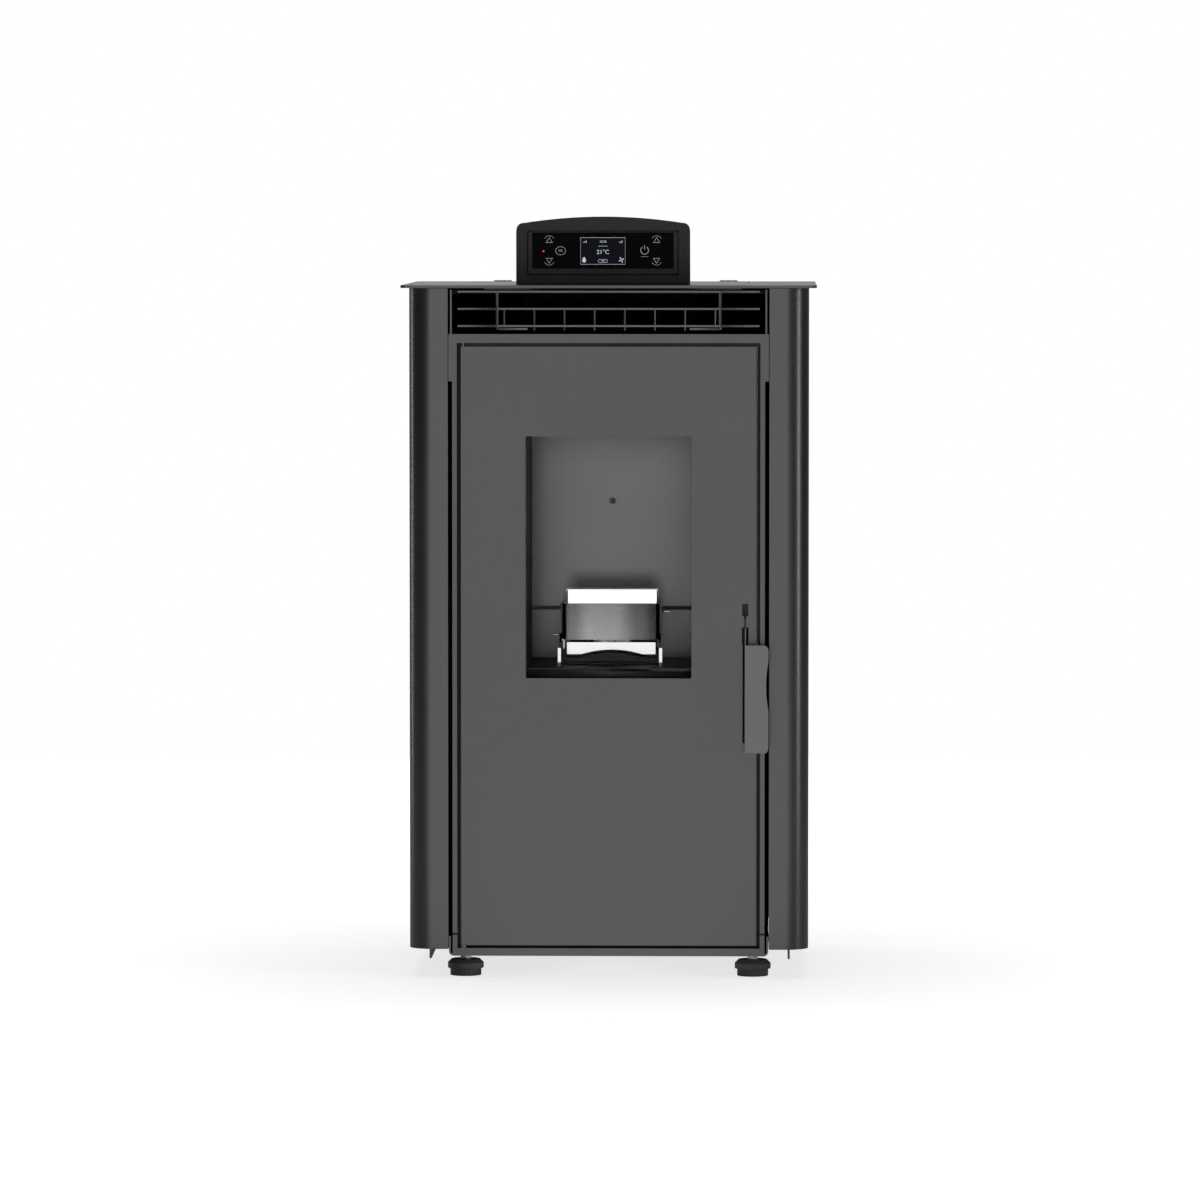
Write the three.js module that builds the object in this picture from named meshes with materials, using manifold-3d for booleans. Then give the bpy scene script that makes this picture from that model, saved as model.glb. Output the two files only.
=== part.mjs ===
// Pellet stove: a narrow free-standing room heater that burns wood pellets.
// Millimetres. +X is the viewer's right, +Y runs to the back, +Z is up.
// The model is built with x = 0 on the centre line, y = 0 in the plane of the front and z = 0 on the floor,
// and the finished group is moved along Y so that its origin is the middle of its footprint.

import * as THREE from 'three';
import { mergeVertices } from 'three/addons/utils/BufferGeometryUtils.js';
import Module from 'manifold-3d';

const wasm = await Module();
wasm.setup();

// ---------------------------------------------------------------- driving dimensions

// clearances
const seatGap = 0.3; // between two pieces that are bolted together or rest on each other
const pinGap = 0.3; // round a pin or a shaft in its hole
const slipGap = 0.5; // round a piece that is dropped or slid into its place

// sheet thicknesses
const casingSheet = 1.5; // side panels, door skin, rear panel
const frameSheet = 1.6; // front frame and bulkhead
const traySheet = 2;
const topSheet = 3;

// widths, from the centre line outwards
const doorHalfWidth = 167.5;
const doorSideGap = 2.5;
const jambWidth = 5.3;
const shadowGap = 4.7; // dark line between the jamb and the side panel
const sideFlat = 18.5; // flat front strip of a side panel
const sideRadius = 26; // bend between the front strip and the side
const topOverhang = 8.5; // top plate beyond the side panels

// heights, from the floor up
const padHeight = 18.3;
const collarHeight = 6.1;
const stripHeight = 8.7; // front strip of the base tray
const doorLift = 3.3; // gap under the door
const doorHeight = 673;
const doorTopGap = 4;
const crosspieceHeight = 10;
const outletHeight = 45; // warm air outlet between the crosspiece and the top strip
const topStripHeight = 4.5;
const topShadowGap = 2; // dark line under the top plate

// depths, from the front plane backwards
const topFront = -6; // front edge of the top plate
const topRear = 384;
const doorDepth = 18; // folded edge of the door
const bulkheadFront = 24;
const casingDepth = 364; // side panels
const ductGap = 1.5; // between the back of the firebox and the ducts

// base tray and feet
const trayLipHeight = 22;
const trayCorner = 5;
const traySideGap = 0.5; // between the tray and the side panels
const uprightHeight = 15; // upright at each end of the front strip
const jambSeam = 2; // open seam between that upright and the jamb
const footInset = 17.5; // foot centre in from the tray's side
const footFront = 36;
const footRear = 335;
const padRadius = 20.25;
const padBaseRadius = 17.5;
const padBaseHeight = 7.3;
const padBevel = 4;
const collarRadius = 6.75;
const studRadius = 4;
const studLength = 36; // above the collar
const studSeatDepth = 8; // stud inside the pad
const bossRadius = 8;
const bossHeight = 18;

// side panels and their lower brackets
const sideFlange = 14; // inward edge beside the jamb
const rearFlange = 18;
const sideClearance = 7.5; // panel's lower edge above the tray's underside
const bracketFront = 52;
const bracketRear = 200;
const bracketSheet = 2.5;
const bracketTab = 201.4; // inner face of the hanging tab, from the centre line
const bracketDrop = 16.5; // height of the tab's lower edge above the floor
const bracketShelf = 12; // shelf above the tray's underside

// front frame
const tabWidth = 4.2;
const tabDrop = 43; // length of the tab beside the crosspiece, below its underside
const outletJamb = 2; // thin jamb beside the outlet

// outlet grille, a rack of welded wire
const wireRadius = 1.65;
const thinWireRadius = 1.1;
const wireHalfLength = 169;
const wirePitch = 19.2; // between the horizontal wires
const wireTop = 2.4; // top wire's centre above the outlet's upper edge
const thinWireCount = 8;
const thinWirePitch = 33.75;
const thinWireMiddle = 1.1; // middle of the thin wires, from the centre line
const hookWireReach = 124.8; // hook wires from the centre line
const hookLength = 34;
const wireSides = 6;
const weldOffset = 0.17; // upright wires stand off the middle of the level ones

// top plate and hopper lid
const topCorner = 6;
const lidHalfWidth = 155;
const lidFront = 205;
const lidRear = 362;
const lidGap = 1.2;
const lidSkirtInset = 7;
const lidSkirtSheet = 1.5;
const lidHingeX = 132; // middle of each lid hinge
const lidHingeBack = 5; // hinge axis behind the lid's rear edge
const lidHingeSink = 1.5; // hinge axis below the top plate's upper face
const knuckleRadius = 3;
const knuckleWidth = 9;
const trunnionRadius = 1.5;
const pullHalfWidth = 30;
const pullHeight = 14;
const pullDepth = 12;

// control pod
const podX = -8; // its middle, left of the centre line as seen from the front
const podFront = 73;
const podDepth = 58;
const podWidth = 196;
const podShoulder = 68; // height of its shoulders above the top plate
const podRise = 8.5; // rise of the arched top between the shoulders
const podShoulderRadius = 9;
const podWall = 2.5;
const podBackLean = 20; // how far the back leans forward at the top
const bezelWidth = 168.7;
const bezelBottom = 11.5; // above the top plate
const bezelHeight = 48.5;
const bezelDepth = 3;
const glassWidth = 158.9;
const glassHeight = 40;
const glassBottom = 18.3; // above the top plate
const glassSheet = 2;
const boardSheet = 1.6;
const boardInset = 3;
const screenWidth = 50.4;
const screenHeight = 30;

// door
const windowHalfWidth = 93;
const windowBottom = 338; // above the floor
const windowHeight = 271.4;
const windowCorner = 2;
const doorBend = 2.5;
const linerSheet = 2;
const paneThickness = 4;
const paneOverlap = 10; // pane beyond the window on each side
const paneGasket = 1.2;
const paneGasketWidth = 7;
const clampWidth = 8;
const clampSheet = 1.5;
const linerWindowStep = 4; // liner's window beyond the door's
const ropeWidth = 8;
const hingeInset = 4; // hinge axis in from the door's left edge and back from its face
const hingeRadius = 2;
const hingeReach = 12; // pin inside the door
const washerRadius = 4;

// handle and latch
const handleBottom = 255.5;
const handleHeight = 121;
const handleWidth = 24.5;
const handleSheet = 3;
const handleStandOff = 22; // handle's front face before the door's
const handleInset = 13.9; // pivot axis in from the door's right edge
const handleAxisDepth = 1.8; // front of the handle's tube behind the door's face
const handleCorner = 6;
const recessDepth = 2.6;
const recessBottom = 302;
const recessHeight = 57;
const webSheet = 2.5;
const slotWidth = 5.6;
const slotHeight = 111;
const knuckleHoleWidth = 7.4;
const knuckleHoleHeight = 18;
const neckWidth = 2.2;
const neckHeight = 14;
const entryHoleWidth = 6.8;
const entryHoleHeight = 13.4;
const handlePinRadius = 1.2;
const handleTubeRadius = 2.3;
const latchBottom = 298;
const latchHeight = 14;
const latchReach = 7; // shank beyond the front face of the bulkhead
const keeperSheet = 2;

// firebox
const fireHalfWidth = windowHalfWidth;
const fireWall = 4;
const ashFloor = 261; // top of the lower floor, above the floor of the room
const hearthTop = 348;
const fireCeiling = 652;
const fireFlange = 16;
const rearFace = 202; // front face of the two rear plates
const rearPlate = 3.5;
const rearPlateSplit = 403.5; // top edge of the lower one
const rearPlateGap = 4.5;
const rearPlateTop = 618;
const plateScrewZ = 529;
const plateScrewRadius = 2.5;
const plateScrewHead = 4;
const hearthSlotHalfWidth = 46; // opening in the hearth for the ash to fall through
const hearthSlotFront = 112;
const hearthSlotRear = 190;
const smokeOutletFront = 120;
const smokeOutletRear = 190;
const smokeOutletHalfWidth = 80;

// burn pot and its cradle
const potFront = 127;
const potRear = 192;
const potHalfWidth = 55;
const potBottom = 373.6;
const potFrontHeight = 41.4;
const potBackHeight = 55.4;
const potWall = 2;
const potCorner = 5;
const cradleSheet = 2;
const cradleFront = 72;
const cradleFlange = 3.6;
const linerHalfWidth = 50.6; // bright liner under the pot
const guardFront = 102;
const guardSheet = 2;
const guardEdge = 354.5; // height of its straight edge
const guardRise = 5.5;
const guardHumpHalfWidth = 35;
const pinReach = 9;
const cradlePinRadius = 1.2;
const leftPinZ = 378.7;
const rightPinZ = 405.5;

// ash pan
const panGap = 3;
const panFront = 36;
const panHeight = 60;
const panSheet = 1.5;
const panStopHeight = 8;

// heat exchanger and ducts
const exchangerFront = 32;
const exchangerRear = 198;
const exchangerTop = 768;
const exchangerWall = 3;
const tubeCount = 5;
const tubePitch = 36;
const tubeRadius = 15;
const tubeWall = 1.5;
const tubeZ = 745;
const ductInner = 45;
const ductOuter = fireHalfWidth + 2;
const ductDepth = 24;
const ductSheet = 1.5;
const smokePortTop = 700;
const smokePortBottom = 664;

// pellet feed
const feedAngle = 70; // degrees above the horizontal, rising towards the front
const feedTopY = 241;
const feedTopZ = 655;
const feedLength = 196;
const feedRadius = 24;
const feedWall = 2;
const feedCap = 3;
const augerClearance = 2;
const augerShaft = 6;
const augerPitch = 38;
const flightSheet = 2;
const inletFrom = 8; // along the tube from its lower end
const inletLength = 48;
const chuteHalfWidth = 20;
const chuteBottom = 624;
const chuteHeight = 24;
const chuteSheet = 1.5;
const feedMotorLength = 58;
const feedMotorHalf = 28;
const motorPlate = 3;
const hopperHalfWidth = 148;
const hopperSheet = 1.5;
const hopperKneeZ = 668; // above this the hopper is a plain box
const hopperMouthZ = 484; // lower end of the funnel
const hopperMouthHalfWidth = 34;
const hopperRim = 6;
const gridDrop = 26;
const gridSheet = 1.5;
const gridColumns = 6;
const gridRows = 3;
const gridBar = 6;

// fans
const fanY = 272;
const fanZ = 130;
const fanRadius = 60;
const fanWidth = 50;
const fanSheet = 2;
const impellerGap = 7;
const impellerWidth = 32;
const bladeCount = 8;
const bladeSheet = 2;
const bladeDepth = 16;
const hubRadius = 9;
const shaftRadius = 4;
const motorLength = 46;
const motorRadius = 30;
const motorFlange = 8; // mounting flange beyond the motor's body
const spigotRadius = 40;
const spigotWall = 1.5;
const spigotReach = 46; // beyond the rear panel
const inletEyeRadius = 30;

// combustion air
const airPipeZ = 372;
const airPipeRadius = 22;
const airPipeWall = 2;
const airPipeReach = 26; // beyond the rear panel
const igniterRadius = 5;
const igniterLength = 110;

// electrics on the rear panel
const inletX = -160;
const inletZ = 92;
const inletHalfWidth = 14;
const inletHeight = 47;
const inletDepth = 22;
const inletFlange = 3;
const rockerHalfWidth = 9;
const rockerHeight = 16;
const mainboardX = -165;
const mainboardZ = 300;
const mainboardHalfWidth = 40;
const mainboardHeight = 120;
const standOff = 8;
const louvreCount = 6;
const louvreHeight = 5;
const louvrePitch = 13;
const louvreHalfWidth = 30;
const rimDepth = 3; // rims turned in round the rear panel's openings
const rimSheet = 1.2;

// finishes
const blackPaint = 0x5a5a5b;
const ironPaint = 0x3d3d3e;

// ---------------------------------------------------------------- shapes

const roundSides = 20;

// A closed geometry as a solid that can be joined and cut.
function solid(geometry) {
  const bare = geometry.clone();
  bare.deleteAttribute('normal');
  bare.deleteAttribute('uv');
  const merged = mergeVertices(bare, 1e-4);
  const vertProperties = new Float32Array(merged.attributes.position.array);
  const triVerts = new Uint32Array(merged.index.array);
  return new wasm.Manifold(new wasm.Mesh({ numProp: 3, vertProperties, triVerts }));
}

// A block between two limits along each axis.
function block(x0, x1, y0, y1, z0, z1) {
  const geometry = new THREE.BoxGeometry(x1 - x0, y1 - y0, z1 - z0);
  geometry.translate((x0 + x1) / 2, (y0 + y1) / 2, (z0 + z1) / 2);
  return solid(geometry);
}

// A round bar along X, Y or Z; a and b are its other two coordinates in X, Y, Z order.
function bar(axis, radius, from, to, a, b, sides = roundSides) {
  const geometry = new THREE.CylinderGeometry(radius, radius, to - from, sides);
  const middle = (from + to) / 2;
  if (axis === 'x') {
    geometry.rotateZ(-Math.PI / 2);
    geometry.translate(middle, a, b);
  } else if (axis === 'y') {
    geometry.translate(a, middle, b);
  } else {
    geometry.rotateX(Math.PI / 2);
    geometry.translate(a, b, middle);
  }
  return solid(geometry);
}

// An outline drawn in the plane across an axis, in X, Y, Z order, and carried along that axis.
function prism(shape, axis, from, to, curveSegments = 6) {
  const geometry = new THREE.ExtrudeGeometry(shape,
    { depth: to - from, bevelEnabled: false, curveSegments });
  if (axis === 'x') {
    const turn = new THREE.Matrix4();
    turn.makeBasis(new THREE.Vector3(0, 1, 0), new THREE.Vector3(0, 0, 1), new THREE.Vector3(1, 0, 0));
    geometry.applyMatrix4(turn);
    geometry.translate(from, 0, 0);
  } else if (axis === 'y') {
    geometry.rotateX(Math.PI / 2);
    geometry.translate(0, to, 0);
  } else {
    geometry.translate(0, 0, from);
  }
  return solid(geometry);
}

// A polygon through the given corner points.
function polygon(points) {
  return new THREE.Shape(points.map(([a, b]) => new THREE.Vector2(a, b)));
}

// A rectangle with the radii of its corners: lower left, lower right, upper right, upper left.
function rounded(a0, a1, b0, b1, radii) {
  const [lowLeft, lowRight, highRight, highLeft] = radii;
  const shape = new THREE.Shape();
  shape.moveTo(a0 + lowLeft, b0);
  shape.lineTo(a1 - lowRight, b0);
  if (lowRight > 0) shape.absarc(a1 - lowRight, b0 + lowRight, lowRight, -Math.PI / 2, 0, false);
  shape.lineTo(a1, b1 - highRight);
  if (highRight > 0) shape.absarc(a1 - highRight, b1 - highRight, highRight, 0, Math.PI / 2, false);
  shape.lineTo(a0 + highLeft, b1);
  if (highLeft > 0) shape.absarc(a0 + highLeft, b1 - highLeft, highLeft, Math.PI / 2, Math.PI, false);
  shape.lineTo(a0, b0 + lowLeft);
  if (lowLeft > 0) shape.absarc(a0 + lowLeft, b0 + lowLeft, lowLeft, Math.PI, Math.PI * 1.5, false);
  return shape;
}

// A turned solid about a vertical axis, from [radius, height] points that start and end on the axis.
function turned(points, x, y, sides = roundSides) {
  const geometry = new THREE.LatheGeometry(points.map(([r, z]) => new THREE.Vector2(r, z)), sides);
  geometry.rotateX(Math.PI / 2);
  geometry.translate(x, y, 0);
  return solid(geometry);
}

// A funnel between a lower and an upper rectangle, each [x0, x1, y0, y1, z].
function funnel(lower, upper) {
  const corners = [lower, upper].flatMap(([x0, x1, y0, y1, z]) => [
    [x0, y0, z], [x1, y0, z], [x1, y1, z], [x0, y1, z],
  ]);
  const geometry = new THREE.BufferGeometry();
  geometry.setAttribute('position', new THREE.Float32BufferAttribute(corners.flat(), 3));
  geometry.setIndex([
    0, 2, 1, 0, 3, 2, 4, 5, 6, 4, 6, 7, 0, 1, 5, 0, 5, 4,
    1, 2, 6, 1, 6, 5, 2, 3, 7, 2, 7, 6, 3, 0, 4, 3, 4, 7,
  ]);
  return solid(geometry);
}

function join(first, ...others) {
  return others.reduce((whole, piece) => whole.add(piece), first);
}

function cut(first, ...others) {
  return others.reduce((whole, piece) => whole.subtract(piece), first);
}

// The same solid on the other side of the centre line.
function mirrored(shape) {
  const mesh = shape.getMesh();
  const vertProperties = mesh.vertProperties.map((value, index) => (index % 3 === 0 ? -value : value));
  const triVerts = new Uint32Array(mesh.triVerts);
  for (let corner = 0; corner < triVerts.length; corner += 3) {
    triVerts[corner] = mesh.triVerts[corner + 1];
    triVerts[corner + 1] = mesh.triVerts[corner];
  }
  return new wasm.Manifold(new wasm.Mesh({ numProp: 3, vertProperties, triVerts }));
}

// ---------------------------------------------------------------- the finished scene

const stove = new THREE.Group();

function place(name, shape, color, roughness, metalness) {
  const mesh = shape.getMesh();
  const geometry = new THREE.BufferGeometry();
  geometry.setAttribute('position', new THREE.BufferAttribute(mesh.vertProperties, 3));
  geometry.setIndex(new THREE.BufferAttribute(mesh.triVerts, 1));
  geometry.computeVertexNormals();
  const piece = new THREE.Mesh(geometry, new THREE.MeshStandardMaterial({ color, roughness, metalness }));
  piece.name = name;
  stove.add(piece);
}

const painted = [blackPaint, 0.5, 0.3];
const ironwork = [ironPaint, 0.7, 0.4];
const zinc = [0xb8bcc0, 0.35, 1];
const stainless = [0xd4d4d2, 0.25, 1];
const plastic = [0x2b2b2c, 0.45, 0];
const rubber = [0x151515, 0.8, 0];
const rope = [0x8f8b82, 0.95, 0];
const darkGlass = [0x0b0b0c, 0.1, 0];

// ---------------------------------------------------------------- heights and widths worked out

const trayBottom = padHeight + seatGap + collarHeight + seatGap;
const trayFloor = trayBottom + traySheet;
const stripTop = trayBottom + stripHeight;
const doorBottom = stripTop + doorLift;
const doorTop = doorBottom + doorHeight;
const crosspieceBottom = doorTop + doorTopGap;
const outletBottom = crosspieceBottom + crosspieceHeight;
const outletTop = outletBottom + outletHeight;
const frameTop = outletTop + topStripHeight;
const topUnder = frameTop + topShadowGap;
const topFace = topUnder + topSheet;
const jambInner = doorHalfWidth + doorSideGap;
const jambOuter = jambInner + jambWidth;
const panelInner = jambOuter + shadowGap;
const panelBend = panelInner + sideFlat;
const panelOuter = panelBend + sideRadius;
const trayHalfWidth = panelInner - traySideGap;
const panelBottom = trayBottom + sideClearance;
const returnFront = bracketRear + 3; // bottom return flange of a side panel, from behind its bracket
const panelTop = topUnder - seatGap;
const rearPanelFront = casingDepth + seatGap;
const rearPanelBack = rearPanelFront + casingSheet;
const rearPanelHalf = panelOuter;
const bulkheadBack = bulkheadFront + frameSheet;

// ---------------------------------------------------------------- levelling feet

const footX = trayHalfWidth - footInset;
const feet = [
  ['front_left', -footX, footFront],
  ['front_right', footX, footFront],
  ['rear_left', -footX, footRear],
  ['rear_right', footX, footRear],
];
const collarBottom = padHeight + seatGap;
const collarTop = collarBottom + collarHeight;
const studBottom = padHeight - studSeatDepth;
for (const [corner, x, y] of feet) {
  const pad = turned([
    [0, 0],
    [padBaseRadius, 0],
    [padBaseRadius, padBaseHeight],
    [padRadius, padBaseHeight + 1],
    [padRadius, padHeight - padBevel],
    [padRadius - padBevel, padHeight],
    [0, padHeight],
  ], x, y);
  const socket = bar('z', studRadius + pinGap, studBottom - seatGap, padHeight + 1, x, y);
  place(`foot_pad_${corner}`, cut(pad, socket), ...rubber);
  const stud = bar('z', studRadius, studBottom, collarTop + studLength, x, y, 12);
  const collar = bar('z', collarRadius, collarBottom, collarTop, x, y, 6);
  place(`foot_stud_${corner}`, join(stud, collar), ...zinc);
}

// ---------------------------------------------------------------- base tray

const trayLipTop = trayBottom + trayLipHeight;
const trayRear = casingDepth;
const trayOuter = rounded(-trayHalfWidth, trayHalfWidth, trayBottom, trayLipTop,
  [trayCorner, trayCorner, 0, 0]);
const trayHollow = rounded(
  -trayHalfWidth + traySheet, trayHalfWidth - traySheet, trayFloor, trayLipTop + 1,
  [trayCorner - traySheet, trayCorner - traySheet, 0, 0],
);
const frontStrip = block(-jambOuter, jambOuter, 0, frameSheet, trayBottom + traySheet, stripTop);
const stripSeat = block(-jambOuter, jambOuter, 0, footFront, trayBottom, trayFloor);
const uprightTop = stripTop + uprightHeight;
const upright = block(jambInner, jambOuter, 0, frameSheet, stripTop - 1, uprightTop);
const rearLip = block(-trayHalfWidth, trayHalfWidth, trayRear - traySheet, trayRear, trayBottom, trayLipTop);
let tray = cut(prism(trayOuter, 'y', frameSheet, trayRear), prism(trayHollow, 'y', 0, trayRear + 1));
tray = join(tray, frontStrip, stripSeat, upright, mirrored(upright), rearLip);
for (const [, x, y] of feet) {
  tray = join(tray, bar('z', bossRadius, trayBottom, trayBottom + bossHeight, x, y, 12));
  tray = cut(tray, bar('z', studRadius + 2 * pinGap, trayBottom - 1, trayBottom + bossHeight + 1, x, y, 12));
}

// door hinge: pins stand in the tray and hang from the crosspiece
const hingeX = -doorHalfWidth + hingeInset;
const hingeY = hingeInset;
const hingeBoss = bar('z', washerRadius + 1, trayFloor - 1, stripTop, hingeX, hingeY + 1.2);
const hingeSocket = bar('z', hingeRadius + pinGap, trayFloor, stripTop + 1, hingeX, hingeY);
tray = cut(join(tray, hingeBoss), hingeSocket);
place('base_tray', tray, ...painted);
const lowerPin = bar('z', hingeRadius, trayFloor + seatGap, doorBottom + hingeReach, hingeX, hingeY, 16);
const lowerWasher = bar('z', washerRadius, stripTop + seatGap, doorBottom - seatGap, hingeX, hingeY, 16);
place('door_hinge_pin_lower', join(lowerPin, lowerWasher), ...zinc);

// ---------------------------------------------------------------- side panels and brackets

// outline of the folded sheet seen from above: inner flange, flat front, bend, side, rear flange
const innerRadius = sideRadius - casingSheet;
const panelShape = new THREE.Shape();
panelShape.moveTo(panelInner, sideFlange);
panelShape.lineTo(panelInner, 0);
panelShape.lineTo(panelBend, 0);
panelShape.absarc(panelBend, sideRadius, sideRadius, -Math.PI / 2, 0, false);
panelShape.lineTo(panelOuter, casingDepth);
panelShape.lineTo(panelOuter - rearFlange, casingDepth);
panelShape.lineTo(panelOuter - rearFlange, casingDepth - casingSheet);
panelShape.lineTo(panelOuter - casingSheet, casingDepth - casingSheet);
panelShape.lineTo(panelOuter - casingSheet, sideRadius);
panelShape.absarc(panelBend, sideRadius, innerRadius, 0, -Math.PI / 2, true);
panelShape.lineTo(panelInner + casingSheet, casingSheet);
panelShape.lineTo(panelInner + casingSheet, sideFlange);
const returnFlange = block(
  panelInner, panelOuter - casingSheet / 2, returnFront, casingDepth - casingSheet / 2,
  panelBottom, panelBottom + casingSheet,
);
const rightPanel = join(prism(panelShape, 'z', panelBottom, panelTop, 10), returnFlange);
place('side_panel_right', rightPanel, ...painted);
place('side_panel_left', mirrored(rightPanel), ...painted);

const shelfZ = trayBottom + bracketShelf;
const bracketInner = trayHalfWidth + seatGap;
const bracketOuter = panelOuter - casingSheet - seatGap;
const shelf = block(bracketInner, bracketOuter, bracketFront, bracketRear, shelfZ, shelfZ + bracketSheet);
const tab = block(bracketTab, bracketTab + bracketSheet, bracketFront, bracketRear, bracketDrop, shelfZ + 1);
const rightBracket = join(shelf, tab);
place('side_bracket_right', rightBracket, ...painted);
place('side_bracket_left', mirrored(rightBracket), ...painted);

// ---------------------------------------------------------------- front frame with its bulkhead

const jambBottom = uprightTop + jambSeam;
const tabBottom = crosspieceBottom - tabDrop;
const tabOuter = jambOuter + tabWidth;
const outletHalfWidth = tabOuter - outletJamb - outletJamb;
const fireOuter = fireHalfWidth + fireWall;
const ashUnder = ashFloor - fireWall;
const fireTop = fireCeiling + fireWall;
const wallHalf = outletHalfWidth + outletJamb;
const latchTop = latchBottom + latchHeight;
const handleAxisX = doorHalfWidth - handleInset;
const latchSlotLeft = handleAxisX - webSheet;
const wireY = wireRadius + seatGap + weldOffset;
const stripFront = wireY + wireRadius + seatGap;
const pinFlange = crosspieceBottom + frameSheet;
const lapped = frameSheet / 2; // welded sheets lap by half a sheet

// front sheet: two jambs, the crosspiece and a tab at each of its ends
const frontSheet = polygon([
  [jambInner, jambBottom],
  [jambOuter, jambBottom],
  [jambOuter, tabBottom],
  [tabOuter, tabBottom],
  [tabOuter, outletBottom],
  [-tabOuter, outletBottom],
  [-tabOuter, tabBottom],
  [-jambOuter, tabBottom],
  [-jambOuter, jambBottom],
  [-jambInner, jambBottom],
  [-jambInner, crosspieceBottom],
  [jambInner, crosspieceBottom],
]);
// bulkhead: back sheet with the openings for the firebox and the latch
const backSheet = rounded(-jambOuter, jambOuter, trayFloor + seatGap, pinFlange, [0, 0, 0, 0]);
const fireHalfOpening = fireOuter + slipGap;
backSheet.holes.push(rounded(-fireHalfOpening, fireHalfOpening, ashUnder - slipGap, fireTop + slipGap,
  [0, 0, 0, 0]));
backSheet.holes.push(rounded(latchSlotLeft, jambOuter - frameSheet - 1, latchBottom - 2, latchTop + 2,
  [0, 0, 0, 0]));
const sideWall = block(
  jambOuter - frameSheet, jambOuter, lapped, bulkheadFront + lapped, jambBottom, crosspieceBottom + lapped,
);
const outletWall = block(
  outletHalfWidth, outletHalfWidth + outletJamb, 0, bulkheadBack, crosspieceBottom + lapped, frameTop,
);
let frame = join(
  prism(frontSheet, 'y', 0, frameSheet),
  prism(backSheet, 'y', bulkheadFront, bulkheadBack),
  block(-wallHalf, wallHalf, lapped, bulkheadFront + lapped, crosspieceBottom, pinFlange),
  sideWall,
  mirrored(sideWall),
  outletWall,
  mirrored(outletWall),
  block(-outletHalfWidth - 1, outletHalfWidth + 1, stripFront, stripFront + frameSheet, outletTop,
    frameTop - 0.5),
);
const upperPinHole = bar('z', hingeRadius + pinGap, crosspieceBottom - 1, outletBottom + 1, hingeX, hingeY);
frame = cut(frame, upperPinHole);
place('front_frame', frame, ...painted);

const pinHead = pinFlange + seatGap;
const upperPin = bar('z', hingeRadius, doorTop - hingeReach, pinHead + 1, hingeX, hingeY, 16);
const upperHead = bar('z', washerRadius - 2 * pinGap - 1, pinHead, pinHead + 3, hingeX, hingeY + 1, 16);
place('door_hinge_pin_upper', join(upperPin, upperHead), ...zinc);

// ---------------------------------------------------------------- warm air outlet grille

const topWireZ = outletTop + wireTop;
const wires = [0, 1, 2].map((row) => (
  bar('x', wireRadius, -wireHalfLength, wireHalfLength, wireY, topWireZ - row * wirePitch, wireSides)
));
const thinBottom = topWireZ - 2 * wirePitch - 5;
for (let index = 0; index < thinWireCount; index += 1) {
  const x = thinWireMiddle + (index - (thinWireCount - 1) / 2) * thinWirePitch;
  wires.push(bar('z', thinWireRadius, thinBottom, topWireZ - wirePitch + weldOffset, x,
    wireY + weldOffset, wireSides));
}
const hookZ = topWireZ - 2 * wirePitch - 2 * wireRadius;
for (const side of [-1, 1]) {
  const x = side * hookWireReach;
  const inner = x - side * hookLength;
  const hookY = wireY - weldOffset;
  wires.push(bar('z', wireRadius, hookZ - wireRadius / 2, topWireZ + wireRadius / 3, x, hookY, wireSides));
  wires.push(bar('x', wireRadius, Math.min(x, inner), Math.max(x, inner), wireY + weldOffset / 2, hookZ,
    wireSides));
}
place('outlet_grille', join(...wires), ...painted);

// ---------------------------------------------------------------- top plate and hopper lid

const topHalfWidth = panelOuter + topOverhang;
const topShape = rounded(-topHalfWidth, topHalfWidth, topFront, topRear,
  [topCorner, topCorner, topCorner, topCorner]);
const lidAxisY = lidRear + lidHingeBack;
const lidAxisZ = topFace - lidHingeSink;
const lidOpening = block(
  -lidHalfWidth - lidGap, lidHalfWidth + lidGap, lidFront - lidGap, lidRear + lidGap, topUnder - 1,
    topFace + 1,
);
let topPlate = cut(prism(topShape, 'z', topUnder, topFace), lidOpening);
let lid = block(-lidHalfWidth, lidHalfWidth, lidFront, lidRear, topUnder, topFace);
const hopperRimTop = topUnder - 5;
const skirtX = lidHalfWidth - lidSkirtInset;
const skirt = cut(
  block(-skirtX, skirtX, lidFront + lidSkirtInset, lidRear - lidSkirtInset, hopperRimTop + seatGap,
    topUnder + 1),
  block(
    -skirtX + lidSkirtSheet, skirtX - lidSkirtSheet, lidFront + lidSkirtInset + lidSkirtSheet,
    lidRear - lidSkirtInset - lidSkirtSheet, hopperRimTop, topUnder + 1,
  ),
);
lid = join(lid, skirt);
const knuckleClear = knuckleRadius + 1;
for (const side of [-1, 1]) {
  const x = side * lidHingeX;
  const half = knuckleWidth / 2;
  topPlate = cut(topPlate, block(x - half - 1, x + half + 1, lidRear, lidAxisY + knuckleClear,
    topUnder - 1, topFace + 1));
  const arm = block(x - half, x + half, lidRear - 1, lidAxisY, lidAxisZ - 1, topFace - 0.5);
  lid = join(lid, arm, bar('x', knuckleRadius, x - half, x + half, lidAxisY, lidAxisZ, 12));
  for (const end of [-1, 1]) {
    const near = x + end * (half + seatGap);
    const far = near + end * (half + 1);
    const low = Math.min(near, far);
    const high = Math.max(near, far);
    topPlate = join(topPlate, bar('x', knuckleRadius, low, high, lidAxisY, lidAxisZ, 12));
    topPlate = cut(topPlate, bar('x', trunnionRadius + pinGap, low - 1, high + 1, lidAxisY, lidAxisZ, 12));
  }
  const pinHalf = knuckleWidth + 1;
  lid = join(lid, bar('x', trunnionRadius, x - pinHalf, x + pinHalf, lidAxisY, lidAxisZ, 12));
}
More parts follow.
